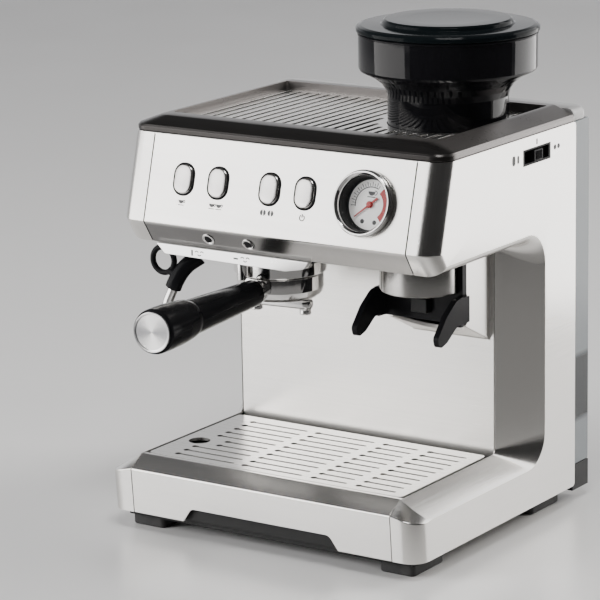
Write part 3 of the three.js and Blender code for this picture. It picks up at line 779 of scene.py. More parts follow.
def side_outline(x, setback):
    """The C shape of a side cover at one place across it. setback is how far its front has turned away."""
    share = (x - SEAM_X) / (HALF_WIDTH - SEAM_X)
    rail = TRAY_TOP + (RAIL_SIDE_Z - TRAY_TOP) * share
    jamb = SPLASH_Y + (JAMB_Y - SPLASH_Y) * share
    edge = TRAY_EDGE_Z + (RAIL_SIDE_Z - 0.6 - TRAY_EDGE_Z) * share
    turned_away = setback / CORNER_RADIUS
    head_z = CHIN.z + (HEAD_SIDE_Z - CHIN.z) * turned_away
    head_y = CHIN.y + (CHIN_SIDE_Y - CHIN.y) * turned_away + setback
    lip = TRAY_LIP_Y + 6 * turned_away
    return rounded([
        (setback, STEEL_BOTTOM, 0), (REAR_Y, STEEL_BOTTOM, 3), (REAR_Y, HEAD_TOP, 3),
        (PANEL_TOP_Y + setback, HEAD_TOP, 0), (FOLD.y + setback, FOLD.z, 2), (head_y, head_z, 0.5),
        (jamb, head_z, 3 + (BAY_CORNER - 3) * share), (jamb, rail, 4 + (BAY_CORNER - 4) * share),
        (lip, rail, 1), (setback - TRAY_LEAN * edge / TRAY_EDGE_Z, edge, 1)], 0, 8)


def side_cover(side):
    corner_start = HALF_WIDTH - CORNER_RADIUS
    places = [(SEAM_X + (corner_start - SEAM_X) * step / 3, 0) for step in range(3)]
    for step in range(13):
        angle = math.radians(90 * step / 12)
        across = corner_start + CORNER_RADIUS * math.sin(angle)
        places.append((across, CORNER_RADIUS * (1 - math.cos(angle))))
    bm = lofted([(side_outline(x, setback), "X", x) for x, setback in places])
    inner = [face for face in bm.faces if all(vert.co.x < SEAM_X + 0.01 for vert in face.verts)]
    bmesh.ops.delete(bm, geom=inner, context="FACES")
    if side > 0:
        open_window(bm)
    else:
        bmesh.ops.scale(bm, verts=bm.verts, vec=(-1, 1, 1))
    bmesh.ops.recalc_face_normals(bm, faces=bm.faces)
    return bm


def open_window(bm):
    """Opens the place of the grind selector in the outer skin."""
    reach = (SELECTOR_SIZE.y / 2 + GAP, SELECTOR_SIZE.z / 2 + GAP)
    for axis, size in ((1, reach[0]), (2, reach[1])):
        for sign in (-1, 1):
            place = [HALF_WIDTH, SELECTOR.y, SELECTOR.z]
            place[axis] += sign * size
            normal = [0, 0, 0]
            normal[axis] = 1
            skin = [face for face in bm.faces if all(vert.co.x > HALF_WIDTH - 0.01 for vert in face.verts)]
            geometry = set(skin)
            for face in skin:
                geometry.update(face.edges)
                geometry.update(face.verts)
            bmesh.ops.bisect_plane(bm, geom=list(geometry), plane_co=place, plane_no=normal)
    inside = [face for face in bm.faces
              if face.calc_center_median().x > HALF_WIDTH - 0.01
              and abs(face.calc_center_median().y - SELECTOR.y) < reach[0]
              and abs(face.calc_center_median().z - SELECTOR.z) < reach[1]]
    bmesh.ops.delete(bm, geom=inside, context="FACES")


def build_side_covers():
    for side, name in ((1, "right"), (-1, "left")):
        piece(f"cover_{name}", side_cover(side), "machine", "steel_side",
              (f"side_panel_{name}",), wall=SHEET, smooth=28)


BUTTONS = {"one_cup": -84.6, "two_cup": -53.2, "grind": -6.5, "power": 24.9}
BUTTON_UP = 35.3
MARKS_UP = 17.6
BUTTON_SIZE = (16.5, 22.4, 7.6)
GAUGE = (77.4, 33)
GAUGE_RADIUS = half_width("gauge_case")
LENSES = (-60.8, -24.5)
LENS_DROP = 10.8
GAUGE_BORE = 21.2
DIAL_DEPTH = -7.5
DIAL_RADIUS = 20.1
NEEDLE_TURN = math.radians(130)


def build_front_cover():
    behind = 6
    strip = rounded([
        (CHIN.y + 1.5, CHIN.z + 1, 0), (FOLD.y + 0.9, FOLD.z, 1), (PANEL_TOP_Y + 0.9, HEAD_TOP, 0),
        (PANEL_TOP_Y + behind, HEAD_TOP, 0), (FOLD.y + behind, FOLD.z, 1),
        (CHIN.y + behind, CHIN.z + 1, 0)], 0, 4)
    centres = [side * (SEAM_X - 0.15) for side in (-1, 1)]
    strips = [prism(strip, "X", centre - 1.1, centre + 1.1) for centre in centres]
    piece("seam_strips", joined(*strips), "machine", "black_matt", edge=0)
    skin = rounded([
        (CHIN.y, CHIN.z, 0), (FOLD.y, FOLD.z, 2.6), (PANEL_TOP_Y, HEAD_TOP, 0),
        (PANEL_TOP_Y + FRONT_SHEET, HEAD_TOP, 0), (FOLD.y + 2.6, FOLD.z, 1.2),
        (CHIN.y + FRONT_SHEET, CHIN.z, 0)], 0, 8)
    width, height, radius = BUTTON_SIZE
    holes = [placed(prism(pill(width + 0.8, height + 0.8, radius + 0.3, (x, BUTTON_UP)), "Z", -6, 6), PANEL)
             for x in BUTTONS.values()]
    holes.append(placed(prism(circle(GAUGE_RADIUS - 3.3, GAUGE, 64), "Z", -6, 6), PANEL))
    holes += [placed(prism(circle(4, (x, -LENS_DROP), 32), "Z", -4, 4), CHIN_FACE) for x in LENSES]
    half = FRONT_HALF - 0.35
    cover = cut(prism(skin, "X", -half, half), *holes)
    piece("front_cover", cover, "machine", "steel_front", ("front_panel",), edge=0.3)


def button_cap(x):
    width, height, radius = BUTTON_SIZE
    levels = [(0, -4.5), (0, 0.6), (0.25, 1.1), (0.8, 1.45), (1.8, 1.7), (3.4, 1.9)]
    return lofted([(pill(width - 2 * inset, height - 2 * inset, radius - inset, (x, BUTTON_UP)), "Z", z)
                   for inset, z in levels])


def cup_mark(x, y):
    """A cup with its handle, seen from the side, and its saucer: three flat shapes."""
    return [thin(arc_band(0, 2.5, 90, 270, (x, y), 12)),
            thin(arc_band(0.7, 1.25, -10, 190, (x + 2.4, y - 0.8), 10)),
            thin(rectangle(x - 2.6, x + 2.6, y - 4.0, y - 3.4))]


def bean_mark(x, y):
    """The two halves of a bean, with the cleft between them."""
    halves = []
    for sign, start in ((-1, 188), (1, 8)):
        halves.append(thin(arc_band(0, 2.3, start, start + 164, (x + sign * 0.3, y), 12)))
    return halves


def build_buttons():
    width, height, radius = BUTTON_SIZE
    for name, x in BUTTONS.items():
        node = f"button_{name}"
        piece(f"{node}_cap", placed(button_cap(x), PANEL), node, "button", (node,),
              edge=0, smooth=50)
        levels = ((0.3, -1), (0.3, 0.35), (0.6, 0.6), (1.2, 0.6), (1.5, 0.2), (1.5, -1))
        bezel = lofted([(pill(width + 2 * grow, height + 2 * grow, radius + grow, (x, BUTTON_UP)), "Z", z)
                        for grow, z in levels], ring=True)
        piece(f"{node}_bezel", placed(bezel, PANEL), "machine", "black", edge=0, smooth=50)
    marks = []
    for cups, x in ((1, BUTTONS["one_cup"]), (2, BUTTONS["two_cup"])):
        for cup in range(cups):
            marks += cup_mark(x + (cup - (cups - 1) / 2) * 6.4, MARKS_UP + 1.8)
    for shift in (-3.4, 3.4):
        marks += bean_mark(BUTTONS["grind"] + shift, MARKS_UP)
    power = BUTTONS["power"]
    marks.append(thin(arc_band(1.7, 2.5, 30, 330, (power, MARKS_UP - 0.4), 20)))
    marks.append(thin(rectangle(power - 0.4, power + 0.4, MARKS_UP - 0.2, MARKS_UP + 2.6)))
    piece("button_marks", placed(joined(*marks), PANEL), "machine", "ink", edge=0)


def dial_marks():
    """The scale, the dark edge, two screws and a cup."""
    marks = []
    for step, angle in enumerate(range(-96, 25, 8)):
        outer = 16.8 if step % 2 == 0 else 15.6
        marks.append(arc_band(13.6, outer, angle - 0.8, angle + 0.8, (0, 0), 2))
    marks.append(arc_band(12.6, 13.3, -100, 24, (0, 0), 30))
    marks.append(arc_band(18.4, DIAL_RADIUS, 0, 360, (0, 0), 60))
    marks += [circle(1.7, (x, -12.6), 20) for x in (-5.2, 5.2)]
    marks += [arc_band(0, 3.0, 90, 270, (0, 9.6), 12), arc_band(1.2, 1.8, -20, 200, (3.0, 8.8), 10),
              rectangle(-3.4, 3.4, 5.3, 6.0)]
    return joined(*[thin(mark, DIAL_DEPTH) for mark in marks])


def needle_mesh():
    foot = DIAL_DEPTH + 0.4
    hub = turned([(0, foot), (2.5, foot), (2.5, foot + 1.6), (1.8, foot + 2.2), (0, foot + 2.3)])
    blade = prism([(-0.9, -8), (0.9, -8), (0.35, 15.5), (-0.35, 15.5)], "Z", foot + 0.6, foot + 1.2)
    return placed(joined(hub, blade), Matrix.Rotation(NEEDLE_TURN, 4, "Z"))


def build_gauge():
    at = PANEL @ Matrix.Translation((*GAUGE, 0))
    bore, depth, card = GAUGE_BORE, DIAL_DEPTH, DIAL_DEPTH - 1
    bezel = turned([
        (bore, -2), (bore, 0.2), (GAUGE_RADIUS, 0.2), (GAUGE_RADIUS, 3.4), (24.5, 5.0), (23.4, 6.2),
        (22.4, 6.1), (20.9, 4.4), (20.7, 3.2), (20.7, -2)], 0.5, ring=True)
    piece("gauge_bezel", placed(bezel, at), "machine", "chrome", ("gauge_case",), edge=0,
          smooth=50)
    can = turned([(0, depth - 6), (bore, depth - 6), (bore, -2), (20.6, -2), (20.6, 2.3), (20.2, 2.3),
                  (20.2, depth - 5), (0, depth - 5)])
    piece("gauge_can", placed(can, at), "machine", "black_matt", edge=0)
    face = turned([(0, card), (DIAL_RADIUS, card), (DIAL_RADIUS, depth), (0, depth)])
    piece("gauge_card", placed(face, at), "machine", "dial", ("gauge_dial",), edge=0)
    piece("gauge_marks", placed(dial_marks(), at), "machine", "ink", edge=0)
    red_arc = thin(arc_band(10.8, 16.2, 38, 140, (0, 0), 40), depth)
    piece("gauge_red_arc", placed(red_arc, at), "machine", "red", edge=0)
    glass = turned([(0, 2.4), (20.6, 2.4), (20.6, 3.2), (18.5, 3.9), (13, 4.8), (6, 5.3), (0, 5.4)], 1.0)
    piece("gauge_window", placed(glass, at), "machine", "glass", ("gauge_glass",), edge=0,
          smooth=50)
    piece("needle", placed(needle_mesh(), at), "gauge_needle", "red", ("gauge_needle",),
          edge=0.1)


def build_chin_parts():
    for side, x in zip(("left", "right"), LENSES):
        at = CHIN_FACE @ Matrix.Translation((x, -LENS_DROP, 0))
        rim = turned([(3.3, -2), (3.3, 0.5), (4.0, 0.95), (5.0, 0.7), (5.3, 0.05), (4.0, 0.0), (4.0, -2)],
                     0.2, 48, True)
        piece(f"lens_rim_{side}", placed(rim, at), "machine", "chrome", edge=0, smooth=50)
        lens = turned([(0, -3.5), (3.3, -3.5), (3.3, 0), (2.2, 0.6), (0, 0.9)], 0.3, 48)
        piece(f"lens_{side}", placed(lens, at), "machine", "black", (f"indicator_{side}",),
              edge=0, smooth=50)
    start, end = low("label_strip"), high("label_strip")
    outline = rounded([
        (start.x, end.z, 0), (start.x + 8, end.z - 7.7, 2), (6, start.z, 12),
        (end.x - 4, start.z + 3.2, 8), (end.x, end.z, 0)], 0, 8)
    piece("label", prism(outline, "Y", start.y, end.y), "machine", "label",
          ("label_strip",), edge=0.5)
    marks = []
    for x in (-74, -32):
        for step in range(3):
            marks.append(arc_band(1.3, 2.0, -60 + 180 * (step % 2), 60 + 180 * (step % 2),
                                  (x + step * 2.4, 216.8), 8))
    marks += [rectangle(-79, -77.6, 214.6, 219), rectangle(-40, -36, 216.2, 217.4)]
    ink = [prism(mark, "Y", start.y - 0.12, start.y + 0.1) for mark in marks]
    piece("label_marks", joined(*ink), "machine", "ink", edge=0)


# ---- drip tray ----
TRAY_BACK_Y = high("drip_tray_front").y
TRAY_SHEET = 1.8
NOTCH_TOP = 25


def build_tray():
    under = TRAY_TOP - TRAY_SHEET
    skin = rounded([
        (0, STEEL_BOTTOM, 0), (-TRAY_LEAN, TRAY_EDGE_Z, 1.6), (TRAY_LIP_Y, TRAY_TOP, 2.5),
        (TRAY_BACK_Y, TRAY_TOP, 0), (TRAY_BACK_Y, under, 0), (TRAY_LIP_Y + 0.5, under, 1),
        (-0.6, TRAY_EDGE_Z - 0.9, 0.6), (2, STEEL_BOTTOM, 0)], 0, 6)
    notch = rounded([(-80, 0, 0), (-62.5, NOTCH_TOP, 6), (62.5, NOTCH_TOP, 6), (80, 0, 0)], 0, 8)
    face = cut(prism(skin, "X", -FRONT_HALF, FRONT_HALF), prism(notch, "Y", -10, 10))
    piece("tray_face", face, "drip_tray", "steel_tray", ("drip_tray_front",), edge=0.35)
    refined("drip_tray_tub", "tray_tub", "drip_tray", "black_matt", 0.6)
    at = Matrix.Translation((middle("tray_float").x, middle("tray_float").y, 0))
    bottom, top, radius = low("tray_float").z, high("tray_float").z, half_width("tray_float")
    marker = turned([(0, bottom), (6.4, bottom), (6.4, bottom + 11), (radius, bottom + 12),
                     (radius, top - 1.5), (radius - 1.5, top), (0, top)], 0.6, 48)
    piece("float_marker", placed(marker, at), "tray_float", "black_matt", ("tray_float",),
          edge=0)


SLOT_FIRST = 25.6
SLOT_PITCH = 11.2
SLOT_ROWS = 10
SLOT_END = 2.6
FLOAT_HOLE = 8.5
SLOT_COLUMNS = ((-95, -40), (-33, 22), (30, 62), (70, 105))


def build_grille():
    """The slots are cut first, and then the float's hole and a round end at each slot's left."""
    start, end = low("drip_grille"), high("drip_grille")
    marker = middle("tray_float")
    plate = prism(rounded(rectangle(start.x, end.x, start.y, end.y), 4), "Z", start.z, end.z)
    bottom, top = start.z - 10, end.z + 10
    slots = []
    holes = [prism(circle(FLOAT_HOLE, (marker.x, marker.y)), "Z", bottom, top)]
    for row in range(SLOT_ROWS):
        y = SLOT_FIRST + row * SLOT_PITCH
        for x0, x1 in SLOT_COLUMNS:
            if x0 < marker.x + 10 and abs(y - marker.y) < 14:
                x0 += 15
            slots.append(prism(pill(x1 - x0, 2.8, 1.35, ((x0 + x1) / 2, y), 5), "Z", bottom, top))
            holes.append(prism(circle(SLOT_END, (x0 + SLOT_END, y), 20), "Z", bottom, top))
    piece("grille_plate", cut(cut(plate, *slots), *holes), "drip_grille", "steel_grille",
          ("drip_grille",), edge=0.35)


# ---- top ----
RIM_LOW, RIM_HIGH = low("top_rim"), high("top_rim")
RIM_OPENING = (120, 66, 224)
WARMER_SLOTS = 25
WARMER_SPAN = 222
HOPPER_CLEAR = 53


def rim_outline(x0, x1, front, rear, radius):
    """A rectangle with round front corners and almost square rear ones."""
    small = min(radius, 2.5)
    return rounded([(x0, front, radius), (x1, front, radius), (x1, rear, small), (x0, rear, small)], 0, 10)


def rim_level(inset, front_inset, z, radius=CORNER_RADIUS):
    """The rim's outline at a height above its foot. Its rear stands on one plane."""
    return (rim_outline(RIM_LOW.x + inset, RIM_HIGH.x - inset, RIM_LOW.y + front_inset, RIM_HIGH.y, radius),
            "Z", RIM_LOW.z + z)


def build_rim():
    x, front, rear = RIM_OPENING
    hole = rim_outline(-x, x, front, rear, 6)
    height = RIM_HIGH.z - RIM_LOW.z
    sections = [
        rim_level(0.6, 0.6, 0), rim_level(0, 0, 0.6), rim_level(0, 0, 3.6), rim_level(1.2, 1.0, 5.2),
        rim_level(16.0, 10.4, height - 0.5, 11), rim_level(18.5, 12.6, height, 10),
        (hole, "Z", RIM_HIGH.z), (hole, "Z", RIM_LOW.z)]
    piece("rim", lofted(sections, ring=True), "machine", "trim", ("top_rim",), edge=0.7,
          smooth=24)
    levels = ((0.5, -1.6), (-0.05, -1.4), (-0.05, -0.3), (0.5, -0.1), (3, -0.1), (3, -1.6))
    band = lofted([rim_level(inset, inset, z) for inset, z in levels], ring=True)
    piece("rim_band", band, "machine", "satin_chrome", edge=0, smooth=50)


def slot_outline(centre, front, rear):
    return pill(4, rear - front, 1.95, (centre, (front + rear) / 2), 5)


def warmer_slots(front, rear, top):
    """Cutters for the long slots. A slot that would meet the hopper's neck is split in two round it."""
    tools = []
    for index in range(WARMER_SLOTS):
        centre = (index / (WARMER_SLOTS - 1) - 0.5) * WARMER_SPAN
        clear = HOPPER_CLEAR ** 2 - (centre - HOPPER.x) ** 2
        reach = math.sqrt(clear) if clear > 0 else 0
        stretches = [(front, HOPPER.y - reach), (HOPPER.y + reach, rear)] if reach else [(front, rear)]
        tools += [prism(slot_outline(centre, start, end), "Z", top - 6, top + 6)
                  for start, end in stretches if end - start > 4]
    return tools


def build_warmer():
    x, front, rear = RIM_OPENING
    top = high("cup_warmer").z
    foot = low("cup_warmer").z
    socket = HOPPER_NECK + 0.5
    plate = prism(rectangle(GAP - x, x - GAP, front + GAP, rear - GAP), "Z", top - 1.8, top)
    neck_hole = placed(prism(circle(socket, steps=96), "Z", 290, 320), AT_HOPPER)
    plate = cut(plate, neck_hole, *warmer_slots(front + 6, rear - 6, top))
    ring = turned([(socket, foot), (socket + 1.2, foot), (socket + 1.2, top - 1), (socket, top - 1)],
                  0, 96, True)
    piece("warmer_plate", joined(plate, placed(ring, AT_HOPPER)), "machine", "steel_warmer",
          ("cup_warmer",), edge=0.4)
    pan = cut(prism(rectangle(2 - x, x - 2, front + 2, rear - 2), "Z", RIM_LOW.z, RIM_LOW.z + 0.6),
              placed(prism(circle(socket + 4), "Z", 290, 320), AT_HOPPER))
    piece("warmer_pan", pan, "machine", "black_matt", edge=0)


HOPPER_NECK = 46
HOPPER_WALL = 2.4
LID_RADIUS = half_width("hopper_lid")
LID_DISC = 48


def build_hopper():
    neck, radius = HOPPER_NECK, HOPPER_RADIUS
    foot, top = low("bean_hopper").z, high("bean_hopper").z
    inside = radius - HOPPER_WALL
    throat = neck - HOPPER_WALL
    bowl = turned([
        (9, foot), (14, foot), (16, foot + 8), (neck - 3, foot + 10.6), (neck, foot + 12.5),
        (neck, foot + 38), (neck + 1.4, foot + 43), (neck + 5, foot + 48), (neck + 11, foot + 52.6),
        (neck + 17, foot + 55.8), (radius - 1, foot + 57.6), (radius, foot + 59.5), (radius, top),
        (inside, top), (inside, foot + 60), (neck + 9, foot + 54), (neck + 2, foot + 48),
        (throat, foot + 39), (throat, foot + 16), (9, foot + 10)], 0.6, 128, True)
    piece("hopper_bowl", placed(bowl, AT_HOPPER), "bean_hopper", "hopper",
          ("bean_hopper",), edge=0, smooth=50)
    band = turned([(radius - 0.4, top - 1.6), (radius + 0.5, top - 1.6), (radius + 0.5, top - 0.2),
                   (radius - 0.4, top - 0.2)], 0.2, 128, True)
    piece("hopper_band", placed(band, AT_HOPPER), "bean_hopper", "black", edge=0)
    start, end = low("hopper_lid").z, high("hopper_lid").z
    reach, disc = LID_RADIUS, LID_DISC
    lid = turned([
        (0, start), (reach - 1, start), (reach, start + 0.9), (reach, start + 3.4),
        (reach - 1.2, start + 4.8), (reach - 4, start + 5.6), (disc + 3, start + 5.7),
        (disc + 1.6, start + 6.4), (disc + 0.8, start + 8.6), (disc - 0.8, end), (30, end - 0.3),
        (0, end - 0.6)], 0.7, 128)
    piece("lid_disc", placed(lid, AT_HOPPER), "hopper_lid", "lid", ("hopper_lid",), edge=0,
          smooth=40)


# ---- group head, filter holder and spouts ----
def build_group():
    outer, inner = GROUP_RADIUS, GROUP_RADIUS - 2
    foot, top = low("group_head").z, high("group_head").z
    head = turned([
        (inner, foot), (outer - 0.8, foot), (outer, foot + 0.8), (outer, top), (12, top), (12, top - 10),
        (inner, top - 10)], 0.3, ring=True)
    piece("group_ring", placed(head, AT_GROUP), "machine", "chrome", ("group_head",),
          edge=0, smooth=40)
    refined("head_underside", "underside", "machine", "black", 0.6)
    nozzle = middle("water_nozzle")
    foot, top, radius = low("water_nozzle").z, high("water_nozzle").z, half_width("water_nozzle")
    spout = turned([(1.8, foot), (radius - 0.5, foot), (radius, foot + 0.6), (radius, top), (1.8, top)],
                   0.2, 40, True)
    piece("hot_water_spout", placed(spout, Matrix.Translation((nozzle.x, nozzle.y, 0))), "machine",
          "chrome", ("water_nozzle",), edge=0, smooth=40)


HOLDER_RADIUS = 33.3
BASKET_RADIUS = 28.2


def holder_lug(side, start, end):
    """One of the two lugs that lock the filter holder into the group."""
    angles = [-0.3 + 0.15 * step for step in range(5)]
    outline = [(30 * math.cos(angle), 30 * math.sin(angle)) for angle in angles]
    outline += [(33.2 * math.cos(angle), 33.2 * math.sin(angle)) for angle in reversed(angles)]
    return placed(prism(outline, "Z", start, end), AT_GROUP @ Matrix.Rotation(side, 4, "Z"))


def holder_body():
    foot, top, radius = low("filter_holder").z, high("filter_holder").z, HOLDER_RADIUS
    cup = turned([
        (7, foot), (24, foot), (29.5, foot + 1.2), (32.2, foot + 3.8), (radius, foot + 8),
        (radius, foot + 18.6), (radius - 0.8, foot + 19.6), (30.8, foot + 19.9), (30.8, top), (28.7, top),
        (28.7, foot + 6), (25, foot + 3.5), (7, foot + 2.5)], 0.4, ring=True)
    neck = turned([(0, -3.5), (7.4, -3.5), (7.6, 0), (8.8, 4), (9.2, 10.3), (0, 10.3)], 0.5, 64)
    lugs = [holder_lug(side, top - 6, top - 1.5) for side in (0, math.pi)]
    return joined(placed(cup, AT_GROUP), placed(neck, HANDLE), *lugs)


def basket_mesh():
    foot, top, radius = low("filter_basket").z, high("filter_basket").z, BASKET_RADIUS
    return turned([
        (0, foot), (24, foot), (27, foot + 1.6), (radius, foot + 4), (radius, top - 0.9),
        (radius + 2.4, top - 0.9), (radius + 2.4, top), (radius - 0.8, top), (radius - 0.8, foot + 4.5),
        (24.5, foot + 1), (0, foot + 1)], 0.3)


def build_holder():
    piece("holder_body", holder_body(), "filter_holder", "chrome", ("filter_holder",),
          edge=0, smooth=40)
    piece("basket", placed(basket_mesh(), AT_GROUP), "filter_holder", "satin_chrome",
          ("filter_basket",), edge=0, smooth=40)
    span = (HANDLE_REACH - HANDLE_START) / math.cos(HANDLE_RISE)
    grip = turned([
        (0, 10.5), (9.6, 10.5), (10.3, 11.3), (10.6, 24), (11.8, 60), (13.3, span - 54), (13.4, span - 51.6),
        (12.8, span - 50.6), (12.8, span - 49.8), (14.4, span - 49.2), (15.2, span - 44), (16.3, span - 30),
        (16.7, span - 14), (16.5, span - 3.2), (15.8, span - 1.2), (15.0, span - 0.8), (0, span - 0.8)], 0.5)
    piece("grip", placed(grip, HANDLE), "filter_holder", "grip", ("handle_grip",), edge=0,
          smooth=40)
    cap = turned([(0, span - 0.7), (14.7, span - 0.7), (14.7, span + 0.2), (14.2, span + 0.6),
                  (13.4, span + 0.5), (12.8, span + 0.2), (0, span + 0.2)], 0.15)
    # The handle's cap has a painted highlight and painted shade in its colour.
    aluminium = turned_face("Turned aluminium with painted highlight", TO_METRES @ HANDLE @ Vector((0, 0, span)), HANDLE.to_euler())
    piece("grip_cap", placed(cap, HANDLE), "filter_holder", aluminium, ("handle_cap",),
          edge=0, smooth=40)


SPOUT_REACH = 21


def build_spouts():
    at = AT_GROUP @ Matrix.Rotation(HANDLE_TURN, 4, "Z")
    top = high("twin_spout").z
    bridge = prism(pill(2 * SPOUT_REACH + 12, 12, 5.9, steps=10), "Z", top - 10, top - 2.6)
    level_edges = [edge for edge in bridge.edges if abs(edge.verts[0].co.z - edge.verts[1].co.z) < 0.1]
    bmesh.ops.bevel(bridge, geom=level_edges, offset=2.4, offset_type="OFFSET", segments=5, profile=0.5,
                    affect="EDGES", clamp_overlap=True, material=-1)
    stem = turned([(3, top - 4.6), (8.5, top - 4.6), (7.2, top), (3, top)], 0.2, 48, True)
    legs = []
    for side in (-1, 1):
        leg = turned([(2.8, top - 14.4), (4.2, top - 14.4), (4.6, top - 13.8), (4.4, top - 11.1),
                      (5.4, top - 8.2), (2.8, top - 8.2)], 0.2, 40, True)
        legs.append(placed(leg, Matrix.Translation((side * SPOUT_REACH, 0, 0))))
    piece("spouts", placed(joined(bridge, stem, *legs), at), "filter_holder", "chrome",
          ("twin_spout",), edge=0, smooth=40)


# ---- steam wand ----
PIVOT = middle("steam_ball")
BALL_RADIUS = half_width("steam_ball")
WAND_BEND = Vector((-101.5, 41, 190))
WAND_MOUTH = Vector((-103.5, 40.6, 186))
WAND_LOOP = Vector((-113, 41.5, 205.5))
WAND_KNEE = Vector((-108.5, 39, 172))
TIP_FOOT = low("wand_tip").z
TUBE_END = Vector((middle("wand_tip").x, middle("wand_tip").y, TIP_FOOT + 12))


def wand_arm():
    """The black arm, with a loop for a finger and a web between the two."""
    toward = (WAND_BEND - PIVOT).normalized()
    arm = along_curve([PIVOT + toward * 5.6, PIVOT.lerp(WAND_BEND, 0.6) + Vector((-1, -1, 2)), WAND_BEND,
                       WAND_MOUTH + Vector((-0.2, 0, -1))], 6.4)
    section = circle(2.3, (10, 0), 16)
    finger_loop = placed(turned(section, steps=48, ring=True),
                         Matrix.Translation(WAND_LOOP) @ Matrix.Rotation(QUARTER_TURN, 4, "X"))
    web = along_curve([WAND_LOOP + Vector(offset)
                       for offset in ((16, -0.3, -12.5), (11, -0.1, -10), (5.5, 0, -7.5))], 3.6)
    return joined(arm, finger_loop, web)


def build_wand():
    ball = bmesh.new()
    bmesh.ops.create_uvsphere(ball, u_segments=48, v_segments=24, radius=BALL_RADIUS)
    piece("wand_ball", placed(ball, Matrix.Translation(PIVOT)), "steam_ball", "chrome",
          ("steam_ball",), edge=0, smooth=60)
    piece("wand_arm", wand_arm(), "steam_wand", "black", ("wand_grip",), edge=0, smooth=60)
    tube = along_curve([WAND_MOUTH + Vector((0.4, 0, 4)), WAND_MOUTH, WAND_KNEE, TUBE_END], 4)
    piece("wand_pipe", tube, "steam_wand", "chrome", ("wand_tube",), edge=0, smooth=60)
    tip = turned([(0, 0), (1.8, 0), (3.2, 1.4), (4.6, 4.5), (4.6, 11), (4.2, 11.6), (0, 11.6)], 0.4, 48)
    piece("wand_nozzle", placed(tip, Matrix.Translation((TUBE_END.x, TUBE_END.y, TIP_FOOT))), "steam_wand",
          "satin_chrome", ("wand_tip",), edge=0, smooth=40)


# ---- grinder outlet ----
CRADLE_FOOT = 168
CRADLE_ARM_TOP = 190
CRADLE_ROOT_Y = 112
CRADLE_HALF = 38


def cradle_mesh():
    """A back plate under the outlet, an arch, and two arms that droop to rounded tips."""
    x, y = OUTLET.x, OUTLET.y
    root, top = CRADLE_ROOT_Y, CRADLE_ARM_TOP
    arm = rounded([(root, top, 1), (94, top, 14), (79, 180, 12), (66.5, 166, 4), (69, 158, 4),
                   (80, 161, 6), (94, 170, 12), (root, 170, 1)], 0, 8)
    arms = [prism(arm, "X", x + start, x + start + 4.6) for start in (-CRADLE_HALF, CRADLE_HALF - 4.6)]
    plate = block(x - 35, x + 35, y + 2, y + 7.7, CRADLE_FOOT, CHIN.z - GAP)
    key_low, key_high = low("dose_switch"), high("dose_switch")
    plate = cut(plate,
                prism(circle(OUTLET_RADIUS + GAP, (x, y), 96), "Z", low("outlet_collar").z - GAP, HEAD_TOP),
                block(key_low.x - 0.6, key_high.x + 0.6, y - 5, y + 15, key_low.z - 0.5, key_high.z + 0.5))
    arch = prism(arc_band(33.6, CRADLE_HALF, -90, 90, (x, y - 6), 40), "Z", CRADLE_FOOT, top + 0.5)
    arch = cut(arch, block(x - 60, x + 60, y + 7.7, y + 60, CRADLE_FOOT - 10, top + 10))
    return joined(plate, arch, *arms)


COLLAR_RIBS = 7


def build_outlet():
    radius, foot = OUTLET_RADIUS, low("outlet_collar").z
    inside, top = radius - 2.5, high("outlet_collar").z
    collar = turned([
        (inside, foot + 0.5), (radius - 1.9, foot), (radius - 0.6, foot), (radius, foot + 0.7),
        (radius, top), (inside, top)], 0.2, ring=True)
    piece("collar", placed(collar, AT_OUTLET), "machine", "steel_collar",
          ("outlet_collar",), edge=0, smooth=40)
    ribs = []
    for step in range(COLLAR_RIBS):
        turn = Matrix.Rotation(math.radians(196 + 5 * step), 4, "Z")
        rib = block(radius - 0.1, radius + 0.5, -0.5, 0.5, foot + 2, foot + 29)
        ribs.append(placed(rib, AT_OUTLET @ turn))
    piece("collar_ribs", joined(*ribs), "machine", "satin_chrome", edge=0)
    refined("grounds_chute", "chute", "machine", "black_matt", 0.3)
    piece("cradle", cradle_mesh(), "machine", "black", ("holder_cradle",), edge=1.1)
    refined("dose_switch", "dose_key", "dose_switch", "black_matt", 0.8)
    refined("splash_plate", "splash_panel", "machine", "steel_splash", 1.4)


def build_selector():
    refined("selector_frame", "selector_bezel", "machine", "black", 0.4)
    size, at = SELECTOR_SIZE, SELECTOR
    knob = block(HALF_WIDTH - 6, HALF_WIDTH + 1.6, at.y - 6.5, at.y + 6.5, at.z - 4.1, at.z + 4.1)
    ridges = []
    for step in range(-2, 3):
        y = at.y + step * 1.9
        ridges.append(block(HALF_WIDTH + 1.4, HALF_WIDTH + 2.2, y - 0.45, y + 0.45, at.z - 3.3, at.z + 3.3))
    slide = block(HALF_WIDTH - 8.4, HALF_WIDTH - 5, at.y - 14, at.y + 14, at.z - 9, at.z + 9)
    piece("selector_knob", joined(knob, slide, *ridges), "grind_selector", "black",
          ("grind_selector",), edge=0.5)
    front, rear, top = at.y - size.y / 2, at.y + size.y / 2, at.z + size.z / 2
    shapes = [pill(4.4, 7.6, 2.15, (front - 14, at.z + 0.6)), pill(2.6, 6.0, 1.25, (front - 7.5, at.z + 0.6)),
              circle(1.9, (rear + 7, at.z + 1), 20), circle(1.9, (rear + 12.5, at.z + 1), 20),
              rectangle(at.y - 0.8, at.y + 0.8, top + 1.8, top + 6)]
    marks = joined(*[thin(shape) for shape in shapes])
    piece("selector_marks", placed(marks, RIGHT_SIDE), "machine", "ink", edge=0)


